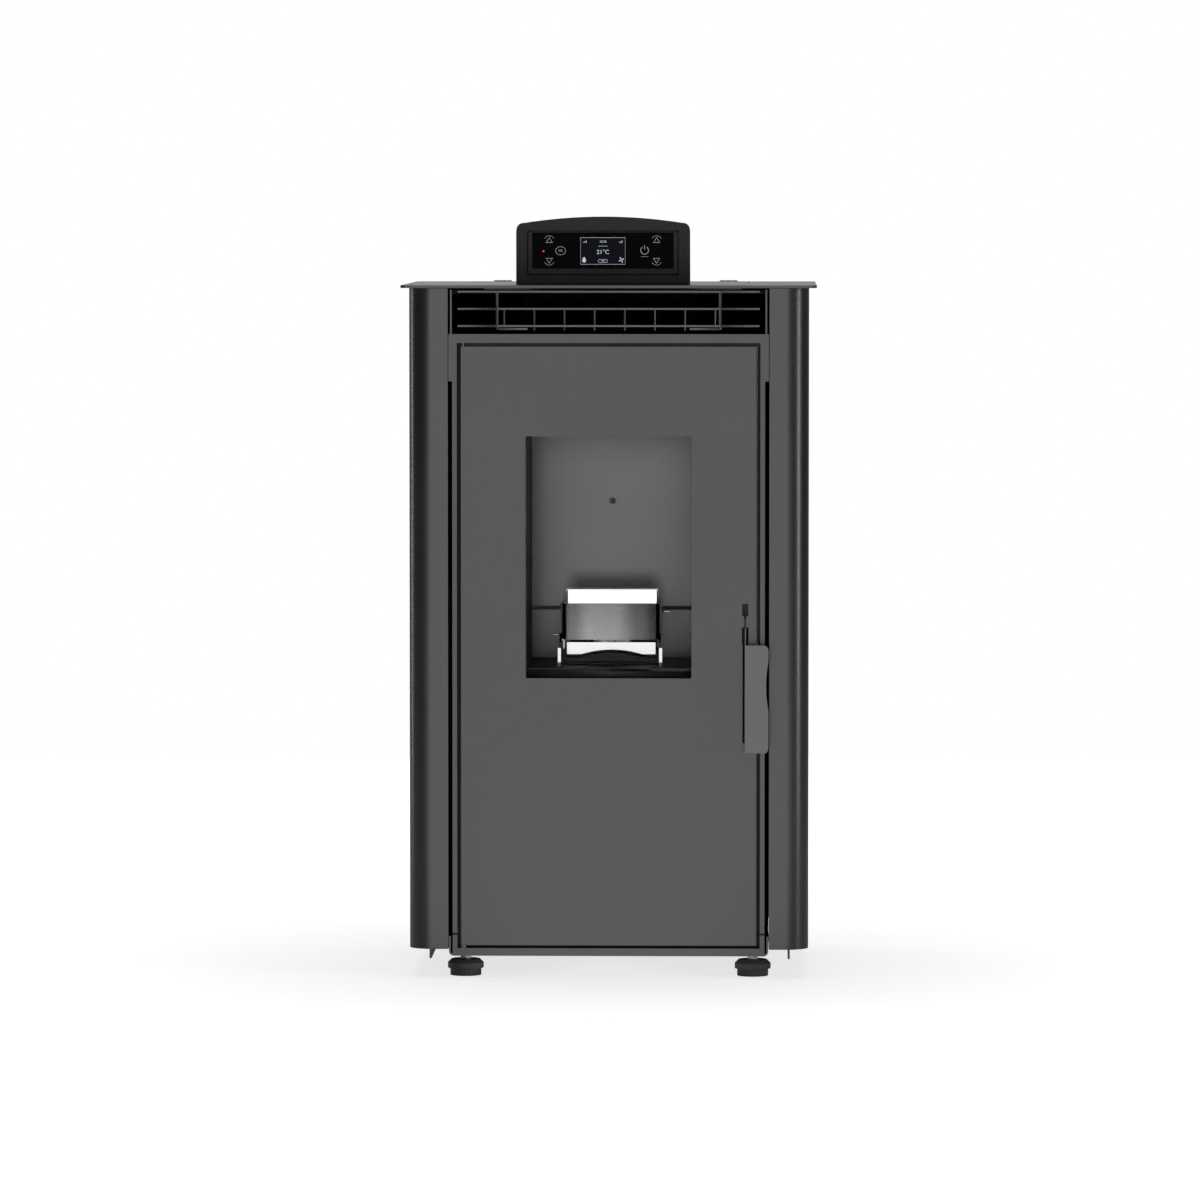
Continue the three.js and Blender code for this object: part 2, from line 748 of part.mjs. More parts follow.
const pull = cut(
  block(podX - pullHalfWidth, podX + pullHalfWidth, lidFront + 4, lidFront + 4 + pullDepth, topFace - 1,
    topFace + pullHeight),
  block(
    podX - pullHalfWidth - 1, podX + pullHalfWidth + 1, lidFront + 6, lidFront + 5 + pullDepth,
    topFace, topFace + pullHeight - 2,
  ),
);
place('top_plate', topPlate, ...painted);
place('hopper_lid', join(lid, pull), ...painted);

// ---------------------------------------------------------------- control pod

const podLeft = podX - podWidth / 2;
const podRight = podX + podWidth / 2;
const podBase = topFace + seatGap;
const podBack = podFront + podDepth;
const podRadius = ((podWidth / 2) ** 2 + podRise ** 2) / (2 * podRise);

// front outline of the pod, drawn in from its edge by a margin
function podOutline(inset, bottom) {
  const left = podLeft + inset;
  const right = podRight - inset;
  const shoulder = topFace + podShoulder - inset;
  const apex = topFace + podShoulder + podRise - inset;
  const half = (right - left) / 2 - podShoulderRadius;
  const radius = podRadius - inset;
  const centre = apex - radius;
  const lean = Math.asin(half / radius);
  const shape = new THREE.Shape();
  shape.moveTo(left, bottom);
  shape.lineTo(right, bottom);
  shape.lineTo(right, shoulder - podShoulderRadius);
  const start = centre + radius * Math.cos(lean);
  shape.quadraticCurveTo(right, start, podX + half, start);
  shape.absarc(podX, centre, radius, Math.PI / 2 - lean, Math.PI / 2 + lean, false);
  shape.quadraticCurveTo(left, start, left, shoulder - podShoulderRadius);
  shape.lineTo(left, bottom);
  return shape;
}

// wedge that takes the leaning back off the pod
function backWedge(back) {
  const top = topFace + podShoulder + podRise + 1;
  const outline = polygon([[back, podBase], [back + podDepth, podBase], [back + podDepth, top],
    [back - podBackLean, top]]);
  return prism(outline, 'x', podLeft - 1, podRight + 1);
}

const bezelLeft = podX - bezelWidth / 2;
const bezelRight = podX + bezelWidth / 2;
const bezelLow = topFace + bezelBottom;
const bezelHigh = bezelLow + bezelHeight;
let pod = cut(prism(podOutline(0, podBase), 'y', podFront, podBack, 8), backWedge(podBack));
const podHollow = cut(
  prism(podOutline(podWall, podBase - 1), 'y', podFront + podWall, podBack, 8), backWedge(podBack - podWall),
);
const ledge = 2.5;
const ledgeSheet = 2;
const ledgeFront = podFront + bezelDepth + seatGap;
const ledgeBack = ledgeFront + ledgeSheet;
const bezelCollar = block(
  bezelLeft - ledge, bezelRight + ledge, podFront + 1, ledgeBack, bezelLow - ledge, bezelHigh + ledge,
);
const bezelSeat = block(
  bezelLeft - slipGap, bezelRight + slipGap, podFront - 1, ledgeFront, bezelLow - slipGap,
    bezelHigh + slipGap,
);
const boardOpening = block(
  bezelLeft + ledge, bezelRight - ledge, podFront - 1, ledgeBack + 1, bezelLow + ledge, bezelHigh - ledge,
);
pod = cut(join(cut(pod, podHollow), bezelCollar), bezelSeat, boardOpening);
place('control_housing', pod, ...plastic);

const glassLeft = podX - glassWidth / 2;
const glassRight = podX + glassWidth / 2;
const glassLow = topFace + glassBottom;
const glassHigh = glassLow + glassHeight;
const bezelFront = podFront - 1.2;
const bezelBack = podFront + bezelDepth;
const glassBack = bezelFront + 0.6 + glassSheet;
const bezelCorner = 3;
const bezelShape = rounded(bezelLeft, bezelRight, bezelLow, bezelHigh,
  [bezelCorner, bezelCorner, bezelCorner, bezelCorner]);
let bezel = prism(bezelShape, 'y', bezelFront, bezelBack, 4);
const paneSeat = block(
  glassLeft - seatGap, glassRight + seatGap, bezelFront - 1, glassBack + seatGap, glassLow - seatGap,
    glassHigh + seatGap,
);
const bezelWindow = block(glassLeft + 3, glassRight - 3, bezelFront, bezelBack + 1, glassLow + 3,
  glassHigh - 3);
bezel = cut(bezel, paneSeat, bezelWindow);
place('control_bezel', bezel, ...plastic);
place('control_glass', block(glassLeft, glassRight, bezelFront + 0.6, glassBack, glassLow, glassHigh),
  ...darkGlass);

// display board: circuit board with the screen module soldered to it
const screenX = podX;
const screenLow = glassLow + (glassHeight - screenHeight) / 2;
const boardFront = ledgeBack + seatGap;
const screen = block(
  screenX - screenWidth / 2, screenX + screenWidth / 2, glassBack + seatGap, boardFront + 1,
  screenLow, screenLow + screenHeight,
);
const board = block(
  bezelLeft + boardInset, bezelRight - boardInset, boardFront, boardFront + boardSheet,
  bezelLow + boardInset - ledge, bezelHigh - boardInset + ledge,
);
place('display_board', join(board, screen), 0x1f5a3a, 0.6, 0);

// ---------------------------------------------------------------- door

const windowTop = windowBottom + windowHeight;
const doorInnerHalf = doorHalfWidth - casingSheet;
const handleTop = handleBottom + handleHeight;
const slotRight = handleAxisX + 2.4;
const slotLeft = slotRight - slotWidth;
const slotTop = handleTop;
const slotBottom = slotTop - slotHeight;
const knuckleHoleTop = slotTop + knuckleHoleHeight + 1;
const entryHoleBottom = knuckleHoleTop + neckHeight - 1;

// outline of the door seen from above, its front edges bent over, drawn in by a margin
function doorOutline(inset, depth) {
  const shape = new THREE.Shape();
  const half = doorHalfWidth - inset;
  const bendX = doorHalfWidth - doorBend;
  const radius = doorBend - inset;
  shape.moveTo(-half, depth);
  shape.lineTo(-half, doorBend);
  shape.absarc(-bendX, doorBend, radius, Math.PI, Math.PI * 1.5, false);
  shape.lineTo(bendX, inset);
  shape.absarc(bendX, doorBend, radius, -Math.PI / 2, 0, false);
  shape.lineTo(half, depth);
  return shape;
}

const windowRadii = [windowCorner, windowCorner, windowCorner, windowCorner];
const windowShape = rounded(-windowHalfWidth, windowHalfWidth, windowBottom, windowTop, windowRadii);
let door = cut(
  prism(doorOutline(0, doorDepth), 'z', doorBottom, doorTop, 4),
  prism(doorOutline(casingSheet, doorDepth + 1), 'z', doorBottom + casingSheet, doorTop - casingSheet, 4),
);
const cutFront = -1;
const cutBack = casingSheet + 0.5;
const middleX = handleAxisX - 0.3;
door = cut(
  door,
  prism(windowShape, 'y', cutFront, cutBack, 3),
  block(slotLeft, slotRight, cutFront, cutBack, slotBottom, slotTop + 1),
  block(
    middleX - knuckleHoleWidth / 2, middleX + knuckleHoleWidth / 2, cutFront, cutBack,
    slotTop, knuckleHoleTop,
  ),
  block(middleX - neckWidth / 2, middleX + neckWidth / 2, cutFront, cutBack, knuckleHoleTop - 1,
    entryHoleBottom + 1),
  block(
    middleX - entryHoleWidth / 2, middleX + entryHoleWidth / 2, cutFront, cutBack,
    entryHoleBottom, entryHoleBottom + entryHoleHeight,
  ),
  bar('z', hingeRadius + pinGap, doorBottom - 1, doorBottom + casingSheet + 1, hingeX, hingeY),
  bar('z', hingeRadius + pinGap, doorTop - casingSheet - 1, doorTop + 1, hingeX, hingeY),
);
place('door_panel', door, ...painted);

// liner: the back plate that carries the pane and closes the pan
const linerBack = doorDepth - seatGap;
const linerFront = linerBack - linerSheet;
const linerHalf = doorInnerHalf - seatGap;
const linerLow = doorBottom + casingSheet + seatGap;
const linerHigh = doorTop - casingSheet - seatGap;
const linerWindowHalf = windowHalfWidth + linerWindowStep;
const linerWindowLow = windowBottom - linerWindowStep;
const linerWindowHigh = windowTop + linerWindowStep;
const gasketFront = linerFront - seatGap - paneGasket;
const paneBack = gasketFront - seatGap;
const paneFront = paneBack - paneThickness;
const paneHalf = windowHalfWidth + paneOverlap + linerWindowStep;
const paneLow = windowBottom - paneOverlap - linerWindowStep;
const paneHigh = windowTop + paneOverlap + linerWindowStep;
const clampBack = paneFront - seatGap;
const clampFront = clampBack - clampSheet;
const postX = paneHalf + 1 + 3;
let liner = cut(
  block(-linerHalf, linerHalf, linerFront, linerBack, linerLow, linerHigh),
  block(-linerWindowHalf, linerWindowHalf, linerFront - 1, linerBack + 1, linerWindowLow, linerWindowHigh),
  block(latchSlotLeft - 1, linerHalf + 1, linerFront - 1, linerBack + 1, latchBottom - 2, latchTop + 2),
  bar('z', hingeRadius + 1, linerLow - 1, doorBottom + hingeReach + 1, hingeX, hingeY),
);
// posts that the pane's clamp is screwed to
for (const side of [-1, 1]) {
  for (const z of [paneLow + 20, (paneLow + paneHigh) / 2, paneHigh - 20]) {
    liner = join(liner, bar('y', 3, clampBack + seatGap, linerFront + 1, side * postX, z, 12));
  }
}
place('door_liner', liner, ...ironwork);
place('door_glass', block(-paneHalf, paneHalf, paneFront, paneBack, paneLow, paneHigh), 0x20242a, 0.05, 0);

// a picture frame between two rectangles
function border(half, low, high, width, front, back) {
  return cut(
    block(-half, half, front, back, low, high),
    block(-half + width, half - width, front - 1, back + 1, low + width, high - width),
  );
}
place('glass_gasket', border(paneHalf, paneLow, paneHigh, paneGasketWidth, gasketFront,
  gasketFront + paneGasket), ...rope);
const clampHalf = postX + 4;
place('glass_clamp', border(clampHalf, paneLow - 2, paneHigh + 2, clampWidth + 6, clampFront,
  clampBack), ...ironwork);
const sealHalf = fireOuter + slipGap + 3 + ropeWidth;
const sealLow = ashUnder - slipGap - 3 - ropeWidth;
const sealHigh = fireTop + slipGap + 3 + ropeWidth;
place('door_gasket', border(sealHalf, sealLow, sealHigh, ropeWidth, linerBack + seatGap,
  bulkheadFront - seatGap), ...rope);

// ---------------------------------------------------------------- handle, its pin and the latch keeper

const handleFront = -handleStandOff;
const plateLeft = handleAxisX - 0.6;
const plateRight = plateLeft + handleWidth + 2;
const handleShape = new THREE.Shape();
const recessTop = recessBottom + recessHeight;
handleShape.moveTo(plateLeft, handleBottom);
handleShape.lineTo(plateRight - handleCorner * 0.6, handleBottom);
handleShape.quadraticCurveTo(plateRight, handleBottom + 1, plateRight, handleBottom + handleCorner * 1.4);
handleShape.lineTo(plateRight, recessBottom);
handleShape.quadraticCurveTo(plateRight - 2 * recessDepth, (recessBottom + recessTop) / 2, plateRight,
  recessTop);
handleShape.lineTo(plateRight, handleTop - handleCorner);
handleShape.absarc(plateRight - handleCorner, handleTop - handleCorner, handleCorner, 0, Math.PI / 2, false);
handleShape.lineTo(plateLeft, handleTop);
const webBottom = slotBottom + 4;
const webTop = slotTop - 2;
const tubeBottom = webBottom;
const tubeTop = knuckleHoleTop - 2;
const axisY = handleAxisDepth + handleTubeRadius;
const noseX = handleAxisX - 2;
const shankBack = bulkheadBack + latchReach;
const axisHole = bar('z', handlePinRadius + pinGap, tubeBottom - 1, tubeTop + 1, handleAxisX, axisY, 16);
const handle = cut(
  join(
    prism(handleShape, 'y', handleFront, handleFront + handleSheet, 6),
    block(plateLeft, plateLeft + webSheet, handleFront + 1, axisY, webBottom, webTop),
    bar('z', handleTubeRadius, tubeBottom, tubeTop, handleAxisX, axisY, 16),
    block(handleAxisX - 1.2, handleAxisX + 1.8, axisY, shankBack, latchBottom, latchTop),
    block(noseX, handleAxisX + 1.8, shankBack - 3, shankBack, latchBottom, latchTop),
  ),
  axisHole,
);
place('door_handle', handle, ...painted);

// the pin hangs in two saddles that reach forward from the liner
const pinLow = tubeBottom - 9;
const pinHigh = tubeTop + 9;
const handlePin = join(
  bar('z', handlePinRadius, pinLow, pinHigh, handleAxisX, axisY, 16),
  bar('z', handleTubeRadius, pinHigh - 1, pinHigh + 2, handleAxisX, axisY, 16),
  block(handleAxisX - 3, handleAxisX + 3, axisY - 0.4, linerFront - seatGap, pinLow + 0.5, pinLow + 4),
  block(handleAxisX - 3, handleAxisX + 3, axisY - 0.4, linerFront - seatGap, pinHigh - 5, pinHigh - 2),
);
place('handle_pin', handlePin, ...zinc);
const keeperRight = noseX - slipGap;
const keeper = join(
  block(keeperRight - 22, keeperRight, bulkheadBack + seatGap, bulkheadBack + seatGap + keeperSheet,
    latchBottom - 8, latchTop + 8),
  block(keeperRight - keeperSheet, keeperRight, bulkheadBack + seatGap, shankBack, latchBottom, latchTop),
);
place('latch_keeper', keeper, ...zinc);

// ---------------------------------------------------------------- firebox

const fireFront = bulkheadBack + seatGap;
const rearPlateBack = rearFace + rearPlate;
const fireRearInner = rearPlateBack + seatGap;
const fireRear = fireRearInner + fireWall;
const flangeHalf = fireOuter + fireFlange;
const potMiddle = 0;
let firebox = join(
  block(-fireOuter, fireOuter, bulkheadFront + seatGap, fireRear, ashUnder, fireTop),
  block(-flangeHalf, flangeHalf, fireFront, fireFront + fireWall, ashUnder - fireFlange,
    fireTop + fireFlange),
);
const airPipeHole = bar('y', airPipeRadius + pinGap, rearFace - 1, fireRear + 1, potMiddle, airPipeZ);
firebox = cut(
  firebox,
  block(-fireHalfWidth, fireHalfWidth, bulkheadFront - 1, fireRearInner, hearthTop, fireCeiling),
  block(-fireHalfWidth, fireHalfWidth, bulkheadFront - 1, fireRearInner, ashFloor, hearthTop - fireWall),
  block(-hearthSlotHalfWidth, hearthSlotHalfWidth, hearthSlotFront, hearthSlotRear,
    hearthTop - fireWall - 1, hearthTop + 1),
  block(-smokeOutletHalfWidth, smokeOutletHalfWidth, smokeOutletFront, smokeOutletRear, fireCeiling - 1,
    fireTop + 1),
  block(
    -chuteHalfWidth - slipGap, chuteHalfWidth + slipGap, fireRearInner - 1, fireRear + 1,
    chuteBottom - slipGap, chuteBottom + chuteHeight + slipGap,
  ),
  airPipeHole,
  bar('y', plateScrewRadius + pinGap, fireRearInner - 1, fireRear + 1, potMiddle, plateScrewZ, 16),
);
// lip that the ash pan is lifted over
const panRest = ashFloor + seatGap;
firebox = join(
  firebox, block(-fireHalfWidth - 1, fireHalfWidth + 1, panFront - panGap - fireWall, panFront - panGap,
    ashFloor - 1, ashFloor + panStopHeight),
);
place('firebox', firebox, ...ironwork);

const plateHalf = fireHalfWidth - slipGap;
const upperLow = rearPlateSplit + rearPlateGap;
const upperPlate = cut(
  block(-plateHalf, plateHalf, rearFace, rearPlateBack, upperLow, rearPlateTop),
  bar('y', plateScrewRadius + pinGap, rearFace - 1, rearPlateBack + 1, potMiddle, plateScrewZ, 16),
);
place('rear_plate_upper', upperPlate, ...painted);
const lowerPlate = cut(
  block(-plateHalf, plateHalf, rearFace, rearPlateBack, hearthTop + seatGap, rearPlateSplit), airPipeHole,
);
place('rear_plate_lower', lowerPlate, ...painted);
const screwFront = rearFace - seatGap;
const plateScrew = join(
  bar('y', plateScrewHead, screwFront - 3, screwFront, potMiddle, plateScrewZ, 6),
  bar('y', plateScrewRadius, screwFront - 1, fireRear + 3, potMiddle, plateScrewZ, 16),
);
place('rear_plate_screw', plateScrew, ...ironwork);

// ---------------------------------------------------------------- burn pot on its cradle

const potFrontTop = potBottom + potFrontHeight;
const potBackTop = potBottom + potBackHeight;
function potOutline(inset) {
  const corner = potCorner - inset;
  return rounded(
    -potHalfWidth + inset, potHalfWidth - inset, potFront + inset, potRear - inset, [corner, corner, 0, 0],
  );
}
const potBackFront = potRear - potWall;
let pot = join(
  cut(
    prism(potOutline(0), 'z', potBottom, potFrontTop, 6),
    prism(potOutline(potWall), 'z', potBottom + potWall, potFrontTop + 1, 6),
  ),
  prism(
    rounded(-potHalfWidth + potWall, potHalfWidth - potWall, potBottom, potBackTop, [0, 0, 3.4, 3.4]),
    'y', potBackFront, potRear,
  ),
);
// air holes in the floor and the ignition port in the back
for (let column = -2; column <= 2; column += 1) {
  for (let row = 0; row < 3; row += 1) {
    const y = potFront + 18 + row * 14;
    pot = cut(pot, bar('z', 2, potBottom - 1, potBottom + potWall + 1, column * 17, y, 6));
  }
}
pot = cut(pot, bar('y', 9, potBackFront - 1, potRear + 1, potMiddle, airPipeZ + 16, 12));
place('burn_pot', pot, ...stainless);

// cradle: two side plates joined by a rail at the back, standing on the hearth
const cradleX = potHalfWidth + slipGap;
const cradleFoot = hearthTop + seatGap;
const cradleBack = rearFace - seatGap;
const sidePlateShape = polygon([
  [cradleFront, cradleFoot],
  [cradleBack, cradleFoot],
  [cradleBack, potFrontTop],
  [potFront - 6, potFrontTop],
  [potFront - 6, potBottom + 8],
  [cradleFront + 12, potBottom + 2],
  [cradleFront, potBottom - 6],
]);
const cradleSide = join(
  prism(sidePlateShape, 'x', cradleX, cradleX + cradleSheet),
  block(cradleX, cradleX + cradleFlange, cradleFront, cradleFront + cradleSheet, cradleFoot, potBottom - 6),
);
const potSeatZ = potBottom - seatGap;
const rail = join(
  block(-cradleX - 1, cradleX + 1, potRear + slipGap, potRear + slipGap + cradleSheet, cradleFoot + 10,
    potFrontTop - 2),
  block(cradleX - 5, cradleX + 1, potFront + 22, potRear + 1, potSeatZ - cradleSheet, potSeatZ),
  block(-cradleX - 1, -cradleX + 5, potFront + 22, potRear + 1, potSeatZ - cradleSheet, potSeatZ),
);
let cradle = join(cradleSide, mirrored(cradleSide), rail);
cradle = join(
  cradle,
  bar('x', cradlePinRadius, -cradleX - cradleSheet - pinReach, -cradleX - 1, potFront + 10, leftPinZ, 12),
  bar('x', cradlePinRadius, cradleX + 1, cradleX + cradleSheet + pinReach, potFront + 10, rightPinZ, 12),
);
cradle = cut(cradle, bar('y', airPipeRadius + 1, potRear, cradleBack + 1, potMiddle, airPipeZ));
place('pot_cradle', cradle, ...stainless);

// guard: low plate before the pot with a raised middle
const guardHalf = cradleX - slipGap;
const guardShape = new THREE.Shape();
guardShape.moveTo(-guardHalf, cradleFoot);
guardShape.lineTo(guardHalf, cradleFoot);
guardShape.lineTo(guardHalf, guardEdge);
guardShape.lineTo(guardHumpHalfWidth, guardEdge);
guardShape.quadraticCurveTo(guardHumpHalfWidth / 2, guardEdge + guardRise, 0, guardEdge + guardRise);
guardShape.quadraticCurveTo(-guardHumpHalfWidth / 2, guardEdge + guardRise, -guardHumpHalfWidth, guardEdge);
guardShape.lineTo(-guardHalf, guardEdge);
const guard = join(
  prism(guardShape, 'y', guardFront, guardFront + guardSheet, 8),
  block(-guardHalf, guardHalf, guardFront - 20, guardFront + 1, cradleFoot, cradleFoot + guardSheet),
);
place('hearth_guard', guard, ...ironwork);

// bright liner that stands under the pot behind the guard
const linerStart = potFront + 8;
const underLiner = block(-linerHalfWidth, linerHalfWidth, linerStart, linerStart + 1.5, cradleFoot,
  potSeatZ - 3);
place('ash_deflector', underLiner, ...stainless);

// ---------------------------------------------------------------- ash pan

const panHalf = fireHalfWidth - panGap;
const panRear = fireRearInner - panGap;
const panTop = panRest + panHeight;
const pan = join(
  cut(
    block(-panHalf, panHalf, panFront, panRear, panRest, panTop),
    block(-panHalf + panSheet, panHalf - panSheet, panFront + panSheet, panRear - panSheet,
      panRest + panSheet, panTop + 1),
  ),
  block(-25, 25, panFront + 1, panFront + 12, panTop - panSheet, panTop),
);
place('ash_pan', pan, ...ironwork);

// ---------------------------------------------------------------- heat exchanger

const exchangerHalf = fireOuter;
const exchangerLow = fireTop + seatGap;
let exchanger = cut(
  block(-exchangerHalf, exchangerHalf, exchangerFront, exchangerRear, exchangerLow, exchangerTop),
  block(
    -exchangerHalf + exchangerWall, exchangerHalf - exchangerWall, exchangerFront + exchangerWall,
    exchangerRear - exchangerWall, exchangerLow - 1, exchangerTop - exchangerWall,
  ),
);
const tubeMiddles = [];
for (let index = 0; index < tubeCount; index += 1) {
  tubeMiddles.push((index - (tubeCount - 1) / 2) * tubePitch);
}
for (const x of tubeMiddles) {
  exchanger = join(exchanger, bar('y', tubeRadius + tubeWall, exchangerFront, exchangerRear, x, tubeZ, 16));
}
for (const x of tubeMiddles) {
  exchanger = cut(exchanger, bar('y', tubeRadius, exchangerFront - 1, exchangerRear + 1, x, tubeZ, 16));
}
const ductFront = fireRear + ductGap;
const ductBack = ductFront + ductDepth;
const hopperFront = ductBack + slipGap;
const smokePort = block(
  ductInner + ductSheet, ductOuter - ductSheet, exchangerRear - exchangerWall - 1, exchangerRear + 1,
  smokePortBottom + ductSheet, smokePortTop - ductSheet,
);
place('heat_exchanger', cut(exchanger, smokePort), ...ironwork);

// ---------------------------------------------------------------- fans

const fanInner = ductInner;
const fanOuter = ductInner + fanWidth;
const fanFoot = trayFloor + seatGap;
const spigotBack = rearPanelBack + spigotReach;
const fanMiddle = (fanInner + fanOuter) / 2;
const ductLow = fanZ + 20;

// drum of a fan with its foot and the shaft hole in its outer wall
function drum(extra, hollow) {
  const outer = join(
    bar('x', fanRadius, fanInner, fanOuter, fanY, fanZ, 24),
    block(fanInner, fanOuter, fanY - 30, fanY + 30, fanFoot, fanFoot + fanSheet),
    block(fanInner, fanInner + fanSheet, fanY - 30, fanY + 30, fanFoot, fanZ - fanRadius * 0.8),
    block(fanOuter - fanSheet, fanOuter, fanY - 30, fanY + 30, fanFoot, fanZ - fanRadius * 0.8),
    ...extra,
  );
  const inner = bar('x', fanRadius - fanSheet, fanInner + fanSheet, fanOuter - fanSheet, fanY, fanZ, 24);
  const shaftHole = bar('x', shaftRadius + pinGap, fanOuter - fanSheet - 1, fanOuter + 1, fanY, fanZ, 16);
  return cut(outer, inner, shaftHole, ...hollow);
}

// smoke side: duct down from the heat exchanger, flue spigot out through the rear
const smokeDuct = block(fanInner, ductOuter, ductFront, ductBack, ductLow, smokePortTop);
const smokeBore = block(
  fanInner + ductSheet, ductOuter - ductSheet, ductFront + ductSheet, ductBack - ductSheet,
    ductLow - 30, smokePortTop - ductSheet,
);
const smokeNeck = block(
  fanInner, ductOuter, exchangerRear + seatGap, ductFront + 1, smokePortBottom, smokePortTop,
);
const neckBore = block(
  fanInner + ductSheet, ductOuter - ductSheet, exchangerRear, ductFront + ductSheet + 1,
  smokePortBottom + ductSheet, smokePortTop - ductSheet,
);
const spigotFront = fanY + motorRadius + motorFlange + slipGap;
const spigot = bar('y', spigotRadius, spigotFront, spigotBack, fanMiddle, fanZ, 24);
const spigotBore = bar('y', spigotRadius - spigotWall, spigotFront + fanSheet, spigotBack + 1,
  fanMiddle, fanZ, 24);
const throatHalf = spigotRadius * 0.7;
const throat = block(
  fanInner + fanSheet, fanOuter - fanSheet, spigotFront - 1, spigotFront + fanSheet + 1,
    fanZ - throatHalf, fanZ + throatHalf,
);
place('exhaust_housing', drum([smokeDuct, smokeNeck, spigot],
  [smokeBore, neckBore, spigotBore, throat]), ...zinc);

// air side: the mirrored drum blows up into a chest behind the heat exchanger tubes
const chestLow = tubeZ - tubeRadius - 6;
const chestTop = exchangerTop;
const airDuct = block(fanInner, ductOuter, ductFront, ductBack, ductLow, chestLow + 1);
const airBore = block(
  fanInner + ductSheet, ductOuter - ductSheet, ductFront + ductSheet, ductBack - ductSheet,
    ductLow - 30, chestLow + 4,
);
const chestFront = exchangerRear + seatGap;
const chestHalf = exchangerHalf;
const chestBack = hopperFront - slipGap;
const chest = block(-chestHalf, chestHalf, chestFront, chestBack, chestLow, chestTop);
const chestBore = block(
  -chestHalf + ductSheet, chestHalf - ductSheet, chestFront - 1, chestBack - ductSheet,
    chestLow + ductSheet, chestTop - ductSheet,
);
const chestMouth = block(
  fanInner + ductSheet, ductOuter - ductSheet, ductFront + ductSheet, chestBack - ductSheet,
    chestLow - 1, chestLow + 4,
);
const eye = bar('x', inletEyeRadius, fanInner - 1, fanInner + fanSheet + 1, fanY, fanZ);
const blower = drum([airDuct, chest], [airBore, chestBore, chestMouth, eye]);
place('blower_housing', mirrored(blower), ...zinc);

const wheelRadius = fanRadius - fanSheet - impellerGap;
const wheelFrom = fanMiddle - impellerWidth / 2;
const wheelTo = fanMiddle + impellerWidth / 2;
function impeller() {
  let wheel = join(
    bar('x', shaftRadius, wheelFrom - 2, fanOuter + 12, fanY, fanZ, 16),
    bar('x', hubRadius, wheelFrom, wheelTo, fanY, fanZ, 16),
    bar('x', wheelRadius, wheelTo - bladeSheet, wheelTo, fanY, fanZ, 24),
  );
  for (let index = 0; index < bladeCount; index += 1) {
    const geometry = new THREE.BoxGeometry(impellerWidth - 0.5, bladeDepth, bladeSheet);
    geometry.rotateX(0.5);
    geometry.translate(fanMiddle, wheelRadius - bladeDepth / 2, 0);
    geometry.rotateX((index * 2 * Math.PI) / bladeCount);
    geometry.translate(0, fanY, fanZ);
    wheel = join(wheel, solid(geometry));
  }
  return wheel;
}
const wheel = impeller();
place('exhaust_impeller', wheel, ...stainless);
place('blower_impeller', mirrored(wheel), ...plastic);

const motorFrom = fanOuter + seatGap;
const motorBody = cut(
  join(
    bar('x', motorRadius, motorFrom, motorFrom + motorLength, fanY, fanZ, 24),
    bar('x', motorRadius + motorFlange, motorFrom, motorFrom + motorPlate, fanY, fanZ, 24),
  ),
  bar('x', shaftRadius + pinGap, motorFrom - 1, fanOuter + 12 + 1, fanY, fanZ, 16),
);
place('exhaust_motor', motorBody, ...zinc);
place('blower_motor', mirrored(motorBody), ...zinc);

// ---------------------------------------------------------------- pellet feed

// the feed is built upright with its lower end at the origin, then leant forward and moved into place
const feedLean = Math.PI / 2 - THREE.MathUtils.degToRad(feedAngle);
const feedDirection = new THREE.Vector3(0, -Math.sin(feedLean), Math.cos(feedLean));
const feedFoot = new THREE.Vector3(0, feedTopY, feedTopZ).addScaledVector(feedDirection, -feedLength);
function leaned(shape) {
  const mesh = shape.getMesh();
  const geometry = new THREE.BufferGeometry();
  geometry.setAttribute('position', new THREE.BufferAttribute(mesh.vertProperties, 3));
  geometry.setIndex(new THREE.BufferAttribute(mesh.triVerts, 1));
  geometry.rotateX(feedLean);
  geometry.translate(feedFoot.x, feedFoot.y, feedFoot.z);
  return solid(geometry);
}

const shaftEnd = -12;
const shaftBore = bar('z', augerShaft / 2 + 1 + pinGap, shaftEnd - 1, feedLength + 1, 0, 0, 16);
const tubeUpright = cut(
  bar('z', feedRadius, 0, feedLength, 0, 0),
  bar('z', feedRadius - feedWall, feedCap, feedLength - feedCap, 0, 0),
  shaftBore,
  block(-feedRadius * 0.7, feedRadius * 0.7, 4, feedRadius + 1, inletFrom, inletFrom + inletLength),
);
const chute = join(
  block(-chuteHalfWidth, chuteHalfWidth, fireRearInner + seatGap, feedTopY, chuteBottom,
    chuteBottom + chuteHeight),
);
const chuteHollow = block(
  -chuteHalfWidth + chuteSheet, chuteHalfWidth - chuteSheet, fireRearInner - 1, feedTopY + 1,
  chuteBottom + chuteSheet, chuteBottom + chuteHeight - chuteSheet,
);
const tubeEnvelope = leaned(bar('z', feedRadius + seatGap, -1, feedLength + 30, 0, 0));
place('auger_tube', cut(leaned(tubeUpright), chuteHollow), ...zinc);
place('drop_chute', cut(chute, chuteHollow, tubeEnvelope), ...zinc);

